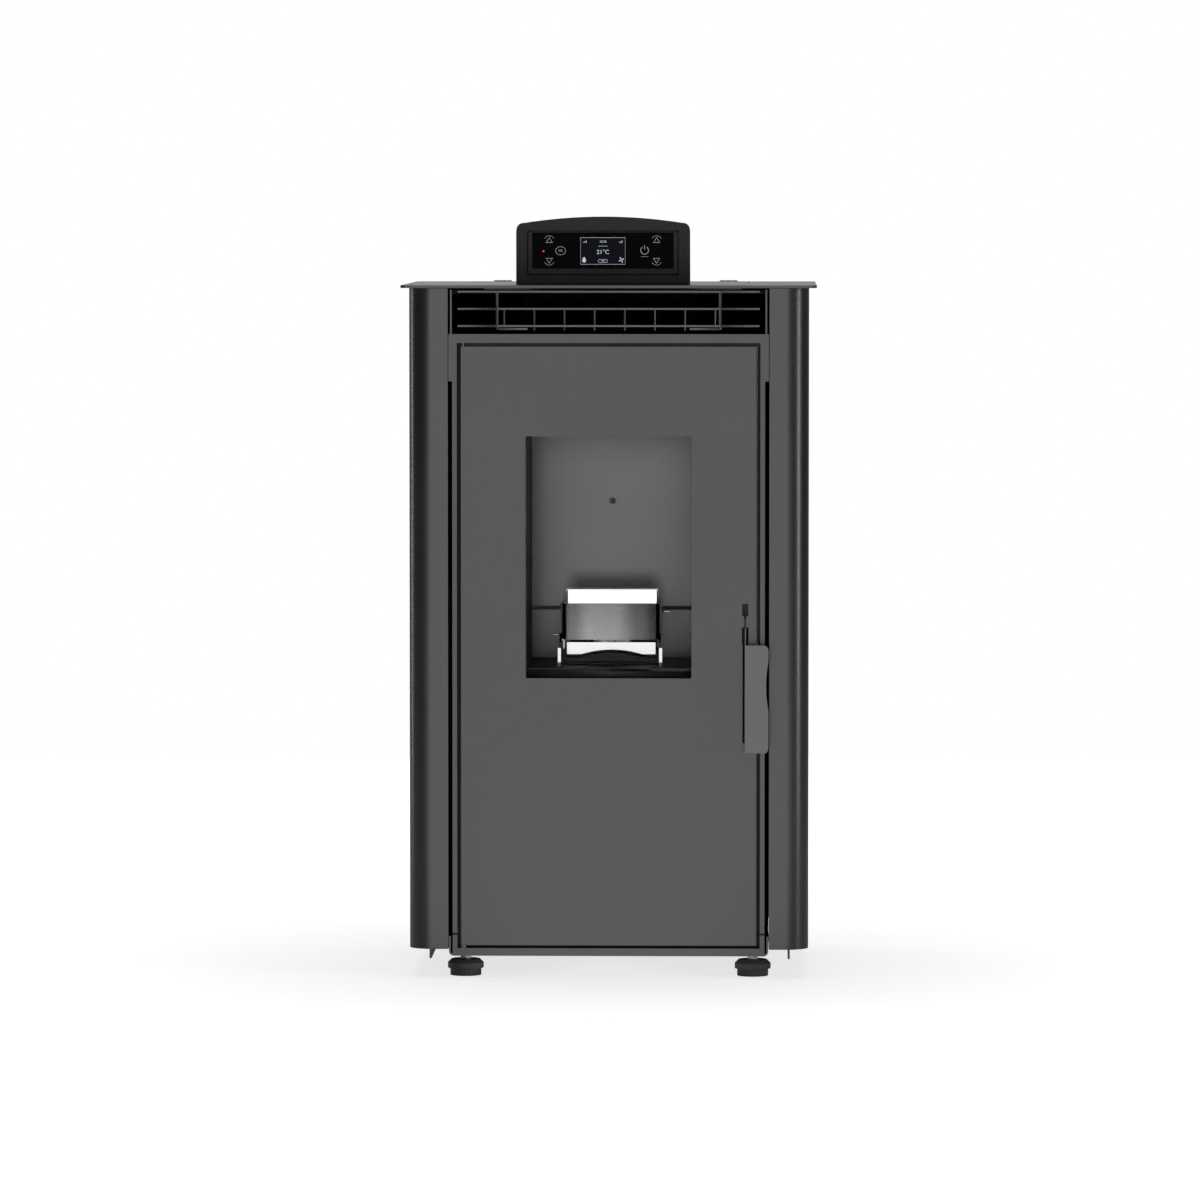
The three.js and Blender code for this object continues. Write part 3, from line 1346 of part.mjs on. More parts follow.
// screw: a flight of constant pitch wound on a shaft
const flightRadius = feedRadius - feedWall - augerClearance;
const flightFrom = feedCap + 3;
const flightTurns = (feedLength - 2 * flightFrom) / augerPitch;
const stepsPerTurn = 12;
function flight() {
  const steps = Math.round((flightTurns - 0.1) * stepsPerTurn);
  const inner = augerShaft / 2;
  const positions = [];
  const indices = [];
  for (let step = 0; step <= steps; step += 1) {
    const angle = (step * 2 * Math.PI) / stepsPerTurn;
    const z = flightFrom + (step * augerPitch) / stepsPerTurn;
    for (const [radius, rise] of [[inner, 0], [flightRadius, 0], [flightRadius, flightSheet],
      [inner, flightSheet]]) {
      positions.push(radius * Math.cos(angle), radius * Math.sin(angle), z + rise);
    }
  }
  for (let step = 0; step < steps; step += 1) {
    for (let side = 0; side < 4; side += 1) {
      const a = step * 4 + side;
      const b = step * 4 + ((side + 1) % 4);
      indices.push(a, b + 4, b, a, a + 4, b + 4);
    }
  }
  const last = steps * 4;
  indices.push(0, 1, 2, 0, 2, 3, last, last + 2, last + 1, last, last + 3, last + 2);
  const geometry = new THREE.BufferGeometry();
  geometry.setAttribute('position', new THREE.Float32BufferAttribute(positions, 3));
  geometry.setIndex(indices);
  return solid(geometry);
}
const augerUpright = join(
  bar('z', augerShaft / 2 + 1, shaftEnd, feedLength - 1, 0, 0, 16), flight(),
);
place('auger', leaned(augerUpright), ...stainless);

const motorTop = -seatGap;
const feedMotor = cut(
  join(
    block(-feedMotorHalf, feedMotorHalf, -feedMotorHalf, feedMotorHalf,
      motorTop - feedMotorLength * 0.45, motorTop),
    bar('z', feedMotorHalf * 0.8, motorTop - feedMotorLength, motorTop - 1, 0, 0),
  ),
  bar('z', augerShaft / 2 + 1 + pinGap, shaftEnd - 1, 1, 0, 0, 16),
);
place('auger_motor', leaned(feedMotor), ...ironwork);

// ---------------------------------------------------------------- hopper

const hopperBack = rearPanelFront - seatGap - 4;
const mouthFront = hopperBack - 30;
const kneeFront = mouthFront - (hopperKneeZ - hopperMouthZ) * Math.tan(feedLean);
function hopperForm(inset, low, high) {
  return join(
    funnel(
      [-hopperMouthHalfWidth + inset, hopperMouthHalfWidth - inset, mouthFront + inset,
        hopperBack - inset, low],
      [-hopperHalfWidth + inset, hopperHalfWidth - inset, kneeFront + inset, hopperBack - inset,
        hopperKneeZ],
    ),
    block(
      -hopperHalfWidth + inset, hopperHalfWidth - inset, hopperFront + inset, hopperBack - inset,
        hopperKneeZ - 0.5, high,
    ),
  );
}
const rim = block(
  -hopperHalfWidth - hopperRim, hopperHalfWidth + hopperRim, hopperFront, hopperBack,
    hopperRimTop - hopperSheet, hopperRimTop,
);
const mouthSpout = block(
  -feedRadius * 0.6, feedRadius * 0.6, mouthFront - 24, hopperBack - 2, hopperMouthZ, hopperMouthZ + 30,
);
const mouthBore = block(
  -feedRadius * 0.6 + hopperSheet, feedRadius * 0.6 - hopperSheet, mouthFront - 30, hopperBack - 4,
  hopperMouthZ + hopperSheet, hopperMouthZ + 30 - hopperSheet,
);
const hopper = cut(
  join(hopperForm(0, hopperMouthZ, hopperRimTop), rim, mouthSpout),
  hopperForm(hopperSheet, hopperMouthZ + hopperSheet, hopperRimTop + 1),
  mouthBore,
  tubeEnvelope,
);
place('hopper', hopper, ...zinc);

const gridHalf = hopperHalfWidth - hopperSheet - seatGap;
const gridFront = hopperFront + hopperSheet + seatGap;
const gridBack = hopperBack - hopperSheet - seatGap;
const gridZ = hopperRimTop - gridDrop;
let grid = block(-gridHalf, gridHalf, gridFront, gridBack, gridZ, gridZ + gridSheet);
const cellWidth = (2 * gridHalf - gridBar * (gridColumns + 1)) / gridColumns;
const cellDepth = (gridBack - gridFront - gridBar * (gridRows + 1)) / gridRows;
for (let column = 0; column < gridColumns; column += 1) {
  for (let row = 0; row < gridRows; row += 1) {
    const x = -gridHalf + gridBar + column * (cellWidth + gridBar);
    const y = gridFront + gridBar + row * (cellDepth + gridBar);
    grid = cut(grid, block(x, x + cellWidth, y, y + cellDepth, gridZ - 1, gridZ + gridSheet + 1));
  }
}
place('hopper_grid', grid, ...zinc);

// ---------------------------------------------------------------- combustion air and ignition

const airPipeBack = rearPanelBack + airPipeReach;
const airPipeFront = rearFace;
const airPipe = cut(
  bar('y', airPipeRadius, airPipeFront, airPipeBack, potMiddle, airPipeZ),
  bar('y', airPipeRadius - airPipeWall, airPipeFront - 1, airPipeBack + 1, potMiddle, airPipeZ),
);
place('air_intake_pipe', airPipe, ...zinc);
const igniterFront = airPipeFront + 6;
const vaneReach = airPipeRadius - airPipeWall - pinGap - 0.4;
const vaneFrom = igniterFront + igniterLength - 14;
place('igniter', join(
  bar('y', igniterRadius, igniterFront, igniterFront + igniterLength, potMiddle, airPipeZ, 16),
  block(-vaneReach, vaneReach, vaneFrom, vaneFrom + 8, airPipeZ - 1, airPipeZ + 1),
  block(-1, 1, vaneFrom, vaneFrom + 8, airPipeZ - vaneReach, airPipeZ + vaneReach),
), ...stainless);

// ---------------------------------------------------------------- rear panel

const inletLow = inletZ - inletHeight / 2;
const inletHigh = inletZ + inletHeight / 2;
const rimFront = rearPanelFront - rimDepth;
const squareHoles = [
  [
    inletX - inletHalfWidth - seatGap, inletX + inletHalfWidth + seatGap,
    inletLow - seatGap, inletHigh + seatGap,
  ],
];
for (let index = 0; index < louvreCount; index += 1) {
  const z = fanZ + (index - (louvreCount - 1) / 2) * louvrePitch;
  squareHoles.push([
    -fanMiddle - louvreHalfWidth, -fanMiddle + louvreHalfWidth, z - louvreHeight / 2, z + louvreHeight / 2,
  ]);
}
const rims = squareHoles.map(([left, right, low, high]) => block(
  left - rimSheet, right + rimSheet, rimFront, rearPanelFront + casingSheet / 2, low - rimSheet, high + rimSheet,
));
let rearPanel = join(
  block(-rearPanelHalf, rearPanelHalf, rearPanelFront, rearPanelBack, panelBottom, panelTop),
  bar('y', spigotRadius + 1 + rimSheet, rimFront, rearPanelBack - casingSheet / 2, fanMiddle, fanZ, 24),
  bar('y', airPipeRadius + pinGap + 0.2 + rimSheet, rimFront, rearPanelBack - casingSheet / 2, potMiddle, airPipeZ),
  ...rims,
);
const rearCuts = [
  bar('y', spigotRadius + 1, rimFront - 1, rearPanelBack + 1, fanMiddle, fanZ, 24),
  bar('y', airPipeRadius + pinGap + 0.2, rimFront - 1, rearPanelBack + 1, potMiddle, airPipeZ),
  ...squareHoles.map(([left, right, low, high]) => block(
    left, right, rimFront - 1, rearPanelBack + 1, low, high,
  )),
];
// notches for the knuckles of the lid's hinges
const notchHalf = knuckleWidth + 6;
for (const x of [-lidHingeX, lidHingeX]) {
  rearCuts.push(block(
    x - notchHalf, x + notchHalf, rearPanelFront - 1, rearPanelBack + 1,
    lidAxisZ - knuckleRadius - 1, panelTop + 1,
  ));
}
rearPanel = cut(rearPanel, ...rearCuts);
place('rear_panel', rearPanel, ...painted);

// ---------------------------------------------------------------- power inlet, switch and mainboard

const flangeFront = rearPanelBack + seatGap;
const flangeBack = flangeFront + inletFlange;
const socketHalf = inletHalfWidth - 3;
const rockerMiddle = inletHigh - 3 - rockerHeight / 2;
const rockerAxisY = flangeBack - 1.5;
let inlet = join(
  block(inletX - inletHalfWidth, inletX + inletHalfWidth, rearPanelBack - inletDepth, flangeFront + 1,
    inletLow, inletHigh),
  block(
    inletX - inletHalfWidth - 4, inletX + inletHalfWidth + 4, flangeFront, flangeBack, inletLow - 4,
      inletHigh + 4,
  ),
);
inlet = cut(
  inlet,
  block(inletX - socketHalf, inletX + socketHalf, flangeBack - 16, flangeBack + 1, inletLow + 3,
    inletLow + 22),
  block(
    inletX - rockerHalfWidth - slipGap, inletX + rockerHalfWidth + slipGap, flangeBack - 12, flangeBack + 1,
    rockerMiddle - rockerHeight / 2 - slipGap, rockerMiddle + rockerHeight / 2 + slipGap,
  ),
);
for (const x of [-5.5, 0, 5.5]) {
  const z = inletLow + 12 + (x === 0 ? 3 : 0);
  inlet = join(inlet, block(inletX + x - 1, inletX + x + 1, flangeBack - 17, flangeBack - 2, z - 2, z + 2));
}
place('power_inlet', inlet, ...plastic);
const rockerTilt = 2.2;
const rocker = join(
  prism(polygon([
    [rockerAxisY - 3, rockerMiddle - rockerHeight / 2 + 1],
    [rockerAxisY + 3.4, rockerMiddle - rockerHeight / 2 + 1],
    [rockerAxisY + 2, rockerMiddle],
    [rockerAxisY + 3.4 - rockerTilt, rockerMiddle + rockerHeight / 2 - 1],
    [rockerAxisY - 3, rockerMiddle + rockerHeight / 2 - 1],
  ]), 'x', inletX - rockerHalfWidth, inletX + rockerHalfWidth),
  bar('x', 1.5, inletX - rockerHalfWidth - 0.2, inletX + rockerHalfWidth + 0.2, rockerAxisY - 1,
    rockerMiddle, 12),
);
place('power_switch', rocker, 0x8a1d1a, 0.4, 0);

const mainboardBack = rearPanelFront - seatGap - standOff;
let mainboard = block(
  mainboardX - mainboardHalfWidth, mainboardX + mainboardHalfWidth, mainboardBack - boardSheet,
    mainboardBack,
  mainboardZ, mainboardZ + mainboardHeight,
);
for (const dx of [-1, 1]) {
  for (const dz of [8, mainboardHeight - 8]) {
    const x = mainboardX + dx * (mainboardHalfWidth - 6);
    mainboard = join(mainboard, bar('y', 3, mainboardBack - 1, rearPanelFront - seatGap, x,
      mainboardZ + dz, 12));
  }
}
mainboard = join(
  mainboard,
  block(mainboardX - 30, mainboardX - 4, mainboardBack - 24, mainboardBack - 1, mainboardZ + 20,
    mainboardZ + 56),
  block(mainboardX + 6, mainboardX + 28, mainboardBack - 16, mainboardBack - 1, mainboardZ + 70,
    mainboardZ + 100),
);
place('mainboard', mainboard, 0x1f5a3a, 0.6, 0);

// ---------------------------------------------------------------- origin in the middle of the footprint

stove.position.y = -(handleFront + spigotBack) / 2;

export default stove;
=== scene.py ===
# Pellet stove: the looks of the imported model, in metres, with +X to the viewer's right, +Y to the back and +Z up.
import math
import bpy
import numpy as np
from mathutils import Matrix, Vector


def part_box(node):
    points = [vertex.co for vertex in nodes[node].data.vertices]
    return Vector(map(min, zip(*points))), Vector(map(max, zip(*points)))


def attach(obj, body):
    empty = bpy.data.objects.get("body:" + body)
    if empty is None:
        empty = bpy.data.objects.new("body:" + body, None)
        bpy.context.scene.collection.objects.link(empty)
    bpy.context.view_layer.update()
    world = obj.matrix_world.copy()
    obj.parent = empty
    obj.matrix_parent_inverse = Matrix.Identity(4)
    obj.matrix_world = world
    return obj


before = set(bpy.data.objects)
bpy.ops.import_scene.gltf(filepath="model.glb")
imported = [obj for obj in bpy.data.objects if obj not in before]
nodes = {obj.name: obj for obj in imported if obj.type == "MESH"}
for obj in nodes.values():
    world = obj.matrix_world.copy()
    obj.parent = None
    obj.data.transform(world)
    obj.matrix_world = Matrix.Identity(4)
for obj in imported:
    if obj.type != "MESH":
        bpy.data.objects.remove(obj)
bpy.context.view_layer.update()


# ---------------------------------------------------------------- studio
# A pale sweep of floor under an even sky, one broad soft lamp in front of the stove and a weaker one at each
# side, so that flat sheet shows one even grey and its bends show a dark band with a bright line in it.
CAMERA_SPOT = (0.186, -8.2529, 0.879)
CAMERA_PITCH = 90 - 3.23
CAMERA_TURN = 1.39
CAMERA_LENS = 216
CAMERA_SHIFT = 0.0014

camera_data = bpy.data.cameras.new("camera")
camera_data.lens = CAMERA_LENS
camera_data.sensor_width = 36
camera_data.shift_y = CAMERA_SHIFT
camera_data.clip_end = 60
camera = bpy.data.objects.new("camera", camera_data)
camera.location = CAMERA_SPOT
camera.rotation_euler = (math.radians(CAMERA_PITCH), 0, math.radians(CAMERA_TURN))
bpy.context.scene.collection.objects.link(camera)
bpy.context.scene.camera = camera
bpy.context.scene.view_settings.view_transform = "Standard"


def grid_faces(rows, columns, closed=False):
    """Quads of a grid whose vertex (i, j) has the number i * columns + j; closed joins the last column to the first."""
    i, j = np.meshgrid(np.arange(rows - 1), np.arange(columns if closed else columns - 1), indexing="ij")
    k = (j + 1) % columns
    quads = np.stack([i * columns + j, i * columns + k, (i + 1) * columns + k, (i + 1) * columns + j], axis=-1)
    return quads.reshape(-1, 4)


def piece(name, points, faces, material, smooth=True):
    """A mesh object with its points in place, so the object itself stays at the origin."""
    mesh = bpy.data.meshes.new(name)
    mesh.from_pydata(np.asarray(points, dtype=float).reshape(-1, 3).tolist(), [], [list(map(int, f)) for f in faces])
    mesh.polygons.foreach_set("use_smooth", [smooth] * len(mesh.polygons))
    mesh.update()
    mesh.materials.append(material)
    made = bpy.data.objects.new(name, mesh)
    bpy.context.scene.collection.objects.link(made)
    return made


def plain_finish(name, colour, roughness):
    """A material with a constant roughness, whose colour is left for the section to vary."""
    material = bpy.data.materials.new(name)
    material.use_nodes = True
    surface = material.node_tree.nodes["Principled BSDF"]
    surface.inputs["Base Color"].default_value = (*colour, 1)
    surface.inputs["Roughness"].default_value = roughness
    return material, material.node_tree, surface


def joined(tree, source, output, target, socket):
    """Links one node's output to another's socket."""
    tree.links.new(source.outputs[output], target.inputs[socket])


floor_material, floor_tree, floor_surface = plain_finish("studio_floor", (0.92, 0.92, 0.92), 0.9)
floor_noise = floor_tree.nodes.new("ShaderNodeTexNoise")
floor_noise.inputs["Scale"].default_value = 3
floor_ramp = floor_tree.nodes.new("ShaderNodeValToRGB")
floor_ramp.color_ramp.elements[0].color = (0.90, 0.90, 0.90, 1)
floor_ramp.color_ramp.elements[1].color = (0.93, 0.93, 0.93, 1)
joined(floor_tree, floor_noise, "Fac", floor_ramp, "Fac")
joined(floor_tree, floor_ramp, "Color", floor_surface, "Base Color")
floor_surface.inputs["Emission Color"].default_value = (1, 1, 1, 1)


def floor_maths(operation, first, second=0.0):
    """One maths node of the floor's material; each value is a number or another node's output."""
    node = floor_tree.nodes.new("ShaderNodeMath")
    node.operation = operation
    for slot, value in enumerate((first, second)):
        if isinstance(value, (int, float)):
            node.inputs[slot].default_value = value
        else:
            floor_tree.links.new(value, node.inputs[slot])
    return node.outputs[0]


def floor_range(value, low, high, at_low, at_high):
    """The value's place between low and high, turned smoothly into a strength."""
    node = floor_tree.nodes.new("ShaderNodeMapRange")
    node.interpolation_type = "SMOOTHSTEP"
    for label, number in (("From Min", low), ("From Max", high), ("To Min", at_low), ("To Max", at_high)):
        node.inputs[label].default_value = number
    floor_tree.links.new(value, node.inputs["Value"])
    return node.outputs[0]


# seen straight, the floor glows evenly, with a painted soft shade round the stove where its glow is dimmed; to
# the metal it is bright only in front, so that the casing's bends reflect a dark room
floor_place = floor_tree.nodes.new("ShaderNodeTexCoord")
floor_parts = floor_tree.nodes.new("ShaderNodeSeparateXYZ")
floor_reach = floor_tree.nodes.new("ShaderNodeVectorMath")
floor_reach.operation = "LENGTH"
floor_ray = floor_tree.nodes.new("ShaderNodeLightPath")
joined(floor_tree, floor_place, "Object", floor_parts, "Vector")
joined(floor_tree, floor_place, "Object", floor_reach, 0)
floor_glow_painted_shade = floor_range(floor_reach.outputs["Value"], 0.25, 1.3, 0.74, 1.0)
ahead = floor_maths("MAXIMUM", floor_maths("MULTIPLY", floor_parts.outputs["Y"], -1.0), 0.02)
aside = floor_maths("DIVIDE", floor_maths("ABSOLUTE", floor_parts.outputs["X"]), ahead)
floor_lit = floor_range(aside, 0.3, 0.9, 0.85, 0.06)
floor_glow = floor_tree.nodes.new("ShaderNodeMix")
joined(floor_tree, floor_ray, "Is Camera Ray", floor_glow, "Factor")
floor_tree.links.new(floor_lit, floor_glow.inputs["A"])
floor_tree.links.new(floor_glow_painted_shade, floor_glow.inputs["B"])
joined(floor_tree, floor_glow, "Result", floor_surface, "Emission Strength")
FLOOR_WIDE = 6.0
FLOOR_FRONT = -9.0
FLOOR_BACK = 3.0
turn, reach = np.meshgrid(np.linspace(0, 2 * np.pi, 96, endpoint=False), (0.01, 1.0))
floor_points = np.stack([
    reach * FLOOR_WIDE * np.cos(turn),
    (FLOOR_FRONT + FLOOR_BACK) / 2 + reach * (FLOOR_BACK - FLOOR_FRONT) / 2 * np.sin(turn),
    np.zeros_like(turn),
], axis=-1).reshape(-1, 3)
floor_faces = [*grid_faces(2, 96, closed=True)[:, ::-1], list(range(96))]
floor = piece("floor", floor_points, floor_faces, floor_material, smooth=False)

# the sky is white to the eye and to the floor, and dimmer to what the metal reflects
world = bpy.data.worlds.new("studio_sky")
world.use_nodes = True
bpy.context.scene.world = world
sky = world.node_tree.nodes["Background"]
sky.inputs["Color"].default_value = (1, 1, 1, 1)
ray = world.node_tree.nodes.new("ShaderNodeLightPath")
level = world.node_tree.nodes.new("ShaderNodeMapRange")
SKY_SEEN = 1.0
SKY_LIGHT = 0.03
SKY_BEHIND = 0.16
looking = world.node_tree.nodes.new("ShaderNodeNewGeometry")
looking_parts = world.node_tree.nodes.new("ShaderNodeSeparateXYZ")
behind = world.node_tree.nodes.new("ShaderNodeMapRange")
joined(world.node_tree, looking, "Incoming", looking_parts, "Vector")
joined(world.node_tree, looking_parts, "Y", behind, "Value")
for label, number in (("From Min", -0.2), ("From Max", -0.85), ("To Min", SKY_LIGHT), ("To Max", SKY_BEHIND)):
    behind.inputs[label].default_value = number
joined(world.node_tree, behind, "Result", level, "To Min")
level.inputs["To Max"].default_value = SKY_SEEN
world.node_tree.links.new(ray.outputs["Is Camera Ray"], level.inputs["Value"])
world.node_tree.links.new(level.outputs["Result"], sky.inputs["Strength"])


def soft_lamp(name, spot, aim, width, height, power):
    """A rectangular lamp that faces its aim point."""
    data = bpy.data.lights.new(name, "AREA")
    data.shape = "RECTANGLE"
    data.size = width
    data.size_y = height
    data.energy = power
    lamp = bpy.data.objects.new(name, data)
    lamp.location = spot
    lamp.rotation_euler = (Vector(aim) - Vector(spot)).to_track_quat("-Z", "Y").to_euler()
    bpy.context.scene.collection.objects.link(lamp)
    return lamp


soft_lamp("lamp_front", (-0.3, -9.8, 1.4), (-0.3, 0, 1.4), 5.2, 2.8, 59)
soft_lamp("lamp_right", (3.25, -1.4, 0.6), (0.2, 0, 0.4), 0.35, 2.6, 20)
soft_lamp("lamp_left", (-3.1, 1.5, 0.6), (-0.2, 0, 0.4), 0.35, 2.6, 12)
soft_lamp("lamp_top", (0, 0.2, 4.5), (0, 0, 0.6), 2.2, 2.2, 30)
lamp_back = soft_lamp("lamp_back", (0, 6.5, 1.6), (0, 0, 0.8), 3.4, 1.8, 12)
lamp_back.visible_camera = False


# ---------------------------------------------------------------- powder-coated casing
# Folded sheet steel, lapped and screwed round the base tray, in a satin black heat-proof powder coat: the coat
# melts into a faint orange peel, lies a little glossier in places, and holds a light dust on what faces up.
def eased(node, width, segments=2, angle=35):
    """Merges the node's loose triangles, dissolves flat seams, rounds its edges and shades its curves smoothly:
    pressed, sheared and moulded parts have no knife edges."""
    weld = node.modifiers.new("weld", "WELD")
    weld.merge_threshold = 1e-5
    flat = node.modifiers.new("flat", "DECIMATE")
    flat.decimate_type = "DISSOLVE"
    flat.angle_limit = math.radians(0.6)
    rounding = node.modifiers.new("rounding", "BEVEL")
    rounding.width = width
    rounding.segments = segments
    rounding.limit_method = "ANGLE"
    rounding.angle_limit = math.radians(angle)
    rounding.use_clamp_overlap = True
    shading = node.modifiers.new("shading", "NODES")
    shading.node_group = smooth_by_angle()
    even = node.modifiers.new("even", "WEIGHTED_NORMAL")
    even.weight = 100
    even.keep_sharp = True
    return node


def smooth_by_angle():
    """A geometry node group: faces smooth, and edges sharper than 33 degrees kept sharp."""
    if "smooth_by_angle" in bpy.data.node_groups:
        return bpy.data.node_groups["smooth_by_angle"]
    group = bpy.data.node_groups.new("smooth_by_angle", "GeometryNodeTree")
    group.interface.new_socket("Geometry", in_out="INPUT", socket_type="NodeSocketGeometry")
    group.interface.new_socket("Geometry", in_out="OUTPUT", socket_type="NodeSocketGeometry")
    start = group.nodes.new("NodeGroupInput")
    end = group.nodes.new("NodeGroupOutput")
    faces = group.nodes.new("GeometryNodeSetShadeSmooth")
    edges = group.nodes.new("GeometryNodeSetShadeSmooth")
    edges.domain = "EDGE"
    bend = group.nodes.new("GeometryNodeInputMeshEdgeAngle")
    gentle = group.nodes.new("FunctionNodeCompare")
    gentle.operation = "LESS_THAN"
    gentle.inputs["B"].default_value = math.radians(33)
    group.links.new(start.outputs[0], faces.inputs["Geometry"])
    group.links.new(faces.outputs["Geometry"], edges.inputs["Geometry"])
    group.links.new(bend.outputs["Unsigned Angle"], gentle.inputs["A"])
    group.links.new(gentle.outputs["Result"], edges.inputs["Shade Smooth"])
    group.links.new(edges.outputs["Geometry"], end.inputs[0])
    return group


def clothed(names, material):
    """Gives each named CAD node one material in all its slots."""
    for name in names:
        for place in nodes[name].material_slots:
            place.material = material

def sheet_finish_group():
    """colour = tint x (1 + shade x (cloud - 0.5)) + dust x up; roughness = gloss + spread x (cloud - 0.5);
    height = peel x fine noise + cloud noise."""
    group = bpy.data.node_groups.new("sheet_finish", "ShaderNodeTree")
    for label, kind, value in (
        ("Vector", "NodeSocketVector", None), ("Tint", "NodeSocketColor", (0.1, 0.1, 0.1, 1)),
        ("Shade", "NodeSocketFloat", 0.15), ("Gloss", "NodeSocketFloat", 0.5), ("Spread", "NodeSocketFloat", 0.1),
        ("Peel Size", "NodeSocketFloat", 700.0), ("Dust", "NodeSocketFloat", 0.05),
    ):
        socket = group.interface.new_socket(label, in_out="INPUT", socket_type=kind)
        if value is not None:
            socket.default_value = value
    for label, kind in (("Colour", "NodeSocketColor"), ("Roughness", "NodeSocketFloat"), ("Height", "NodeSocketFloat")):
        group.interface.new_socket(label, in_out="OUTPUT", socket_type=kind)
    start = group.nodes.new("NodeGroupInput")
    end = group.nodes.new("NodeGroupOutput")
    link = group.links.new

    def maths(operation, first, second):
        node = group.nodes.new("ShaderNodeMath")
        node.operation = operation
        for slot, value in enumerate((first, second)):
            if isinstance(value, (int, float)):
                node.inputs[slot].default_value = value
            else:
                link(value, node.inputs[slot])
        return node.outputs[0]

    cloud = group.nodes.new("ShaderNodeTexNoise")
    cloud.inputs["Scale"].default_value = 7
    cloud.inputs["Detail"].default_value = 5
    fine = group.nodes.new("ShaderNodeTexNoise")
    fine.inputs["Detail"].default_value = 2
    link(start.outputs["Vector"], cloud.inputs["Vector"])
    link(start.outputs["Vector"], fine.inputs["Vector"])
    link(start.outputs["Peel Size"], fine.inputs["Scale"])
    swing = maths("SUBTRACT", cloud.outputs["Fac"], 0.5)
    gain = maths("ADD", maths("MULTIPLY", swing, start.outputs["Shade"]), 1.0)
    shaded = group.nodes.new("ShaderNodeVectorMath")
    shaded.operation = "SCALE"
    link(start.outputs["Tint"], shaded.inputs[0])
    link(gain, shaded.inputs["Scale"])
    facing = group.nodes.new("ShaderNodeNewGeometry")
    parts = group.nodes.new("ShaderNodeSeparateXYZ")
    link(facing.outputs["Normal"], parts.inputs[0])
    up = maths("MULTIPLY", maths("MAXIMUM", parts.outputs["Z"], 0.0), start.outputs["Dust"])
    film = maths("MULTIPLY", up, maths("ADD", swing, 0.6))
    mixed = group.nodes.new("ShaderNodeMix")
    mixed.data_type = "RGBA"
    mixed.inputs["B"].default_value = (0.42, 0.40, 0.37, 1)
    link(film, mixed.inputs["Factor"])
    link(shaded.outputs[0], mixed.inputs["A"])
    link(mixed.outputs["Result"], end.inputs["Colour"])
    rough = maths("ADD", maths("MULTIPLY", swing, start.outputs["Spread"]), start.outputs["Gloss"])
    link(rough, end.inputs["Roughness"])
    link(maths("ADD", maths("MULTIPLY", fine.outputs["Fac"], 0.6), maths("MULTIPLY", cloud.outputs["Fac"], 0.4)),
         end.inputs["Height"])
    return group


def sheet_finish(name, tint, gloss, shade=0.18, spread=0.14, peel=700.0, dust=0.05, bump=0.12, metallic=0.0):
    """A material on the sheet_finish group, with the peel as a bump and everything constant on its own socket."""
    material, tree, surface = plain_finish(name, tint, gloss)
    place = tree.nodes.new("ShaderNodeTexCoord")
    coat = tree.nodes.new("ShaderNodeGroup")
    coat.node_tree = bpy.data.node_groups.get("sheet_finish") or sheet_finish_group()
    joined(tree, place, "Object", coat, "Vector")
    for label, value in (
        ("Tint", (*tint, 1)), ("Shade", shade), ("Gloss", gloss), ("Spread", spread), ("Peel Size", peel),
        ("Dust", dust),
    ):
        coat.inputs[label].default_value = value
    joined(tree, coat, "Colour", surface, "Base Color")
    joined(tree, coat, "Roughness", surface, "Roughness")
    relief = tree.nodes.new("ShaderNodeBump")
    relief.inputs["Strength"].default_value = bump
    relief.inputs["Distance"].default_value = 0.0004
    joined(tree, coat, "Height", relief, "Height")
    joined(tree, relief, "Normal", surface, "Normal")
    surface.inputs["Metallic"].default_value = metallic
    return material, tree, surface


COAT_TINT = (0.105, 0.105, 0.106)
COAT_GLOSS = 0.30
COAT_METAL = 0.85
coat_black, _, _ = sheet_finish("coat_black", COAT_TINT, COAT_GLOSS, metallic=COAT_METAL)
casing = ["base_tray", "side_panel_right", "side_panel_left", "side_bracket_right", "side_bracket_left", "front_frame",
          "top_plate", "hopper_lid", "door_panel", "rear_panel"]
clothed(casing, coat_black)
for name in casing:
    eased(nodes[name], 0.00045 if name in ("door_panel", "top_plate") else 0.0003)
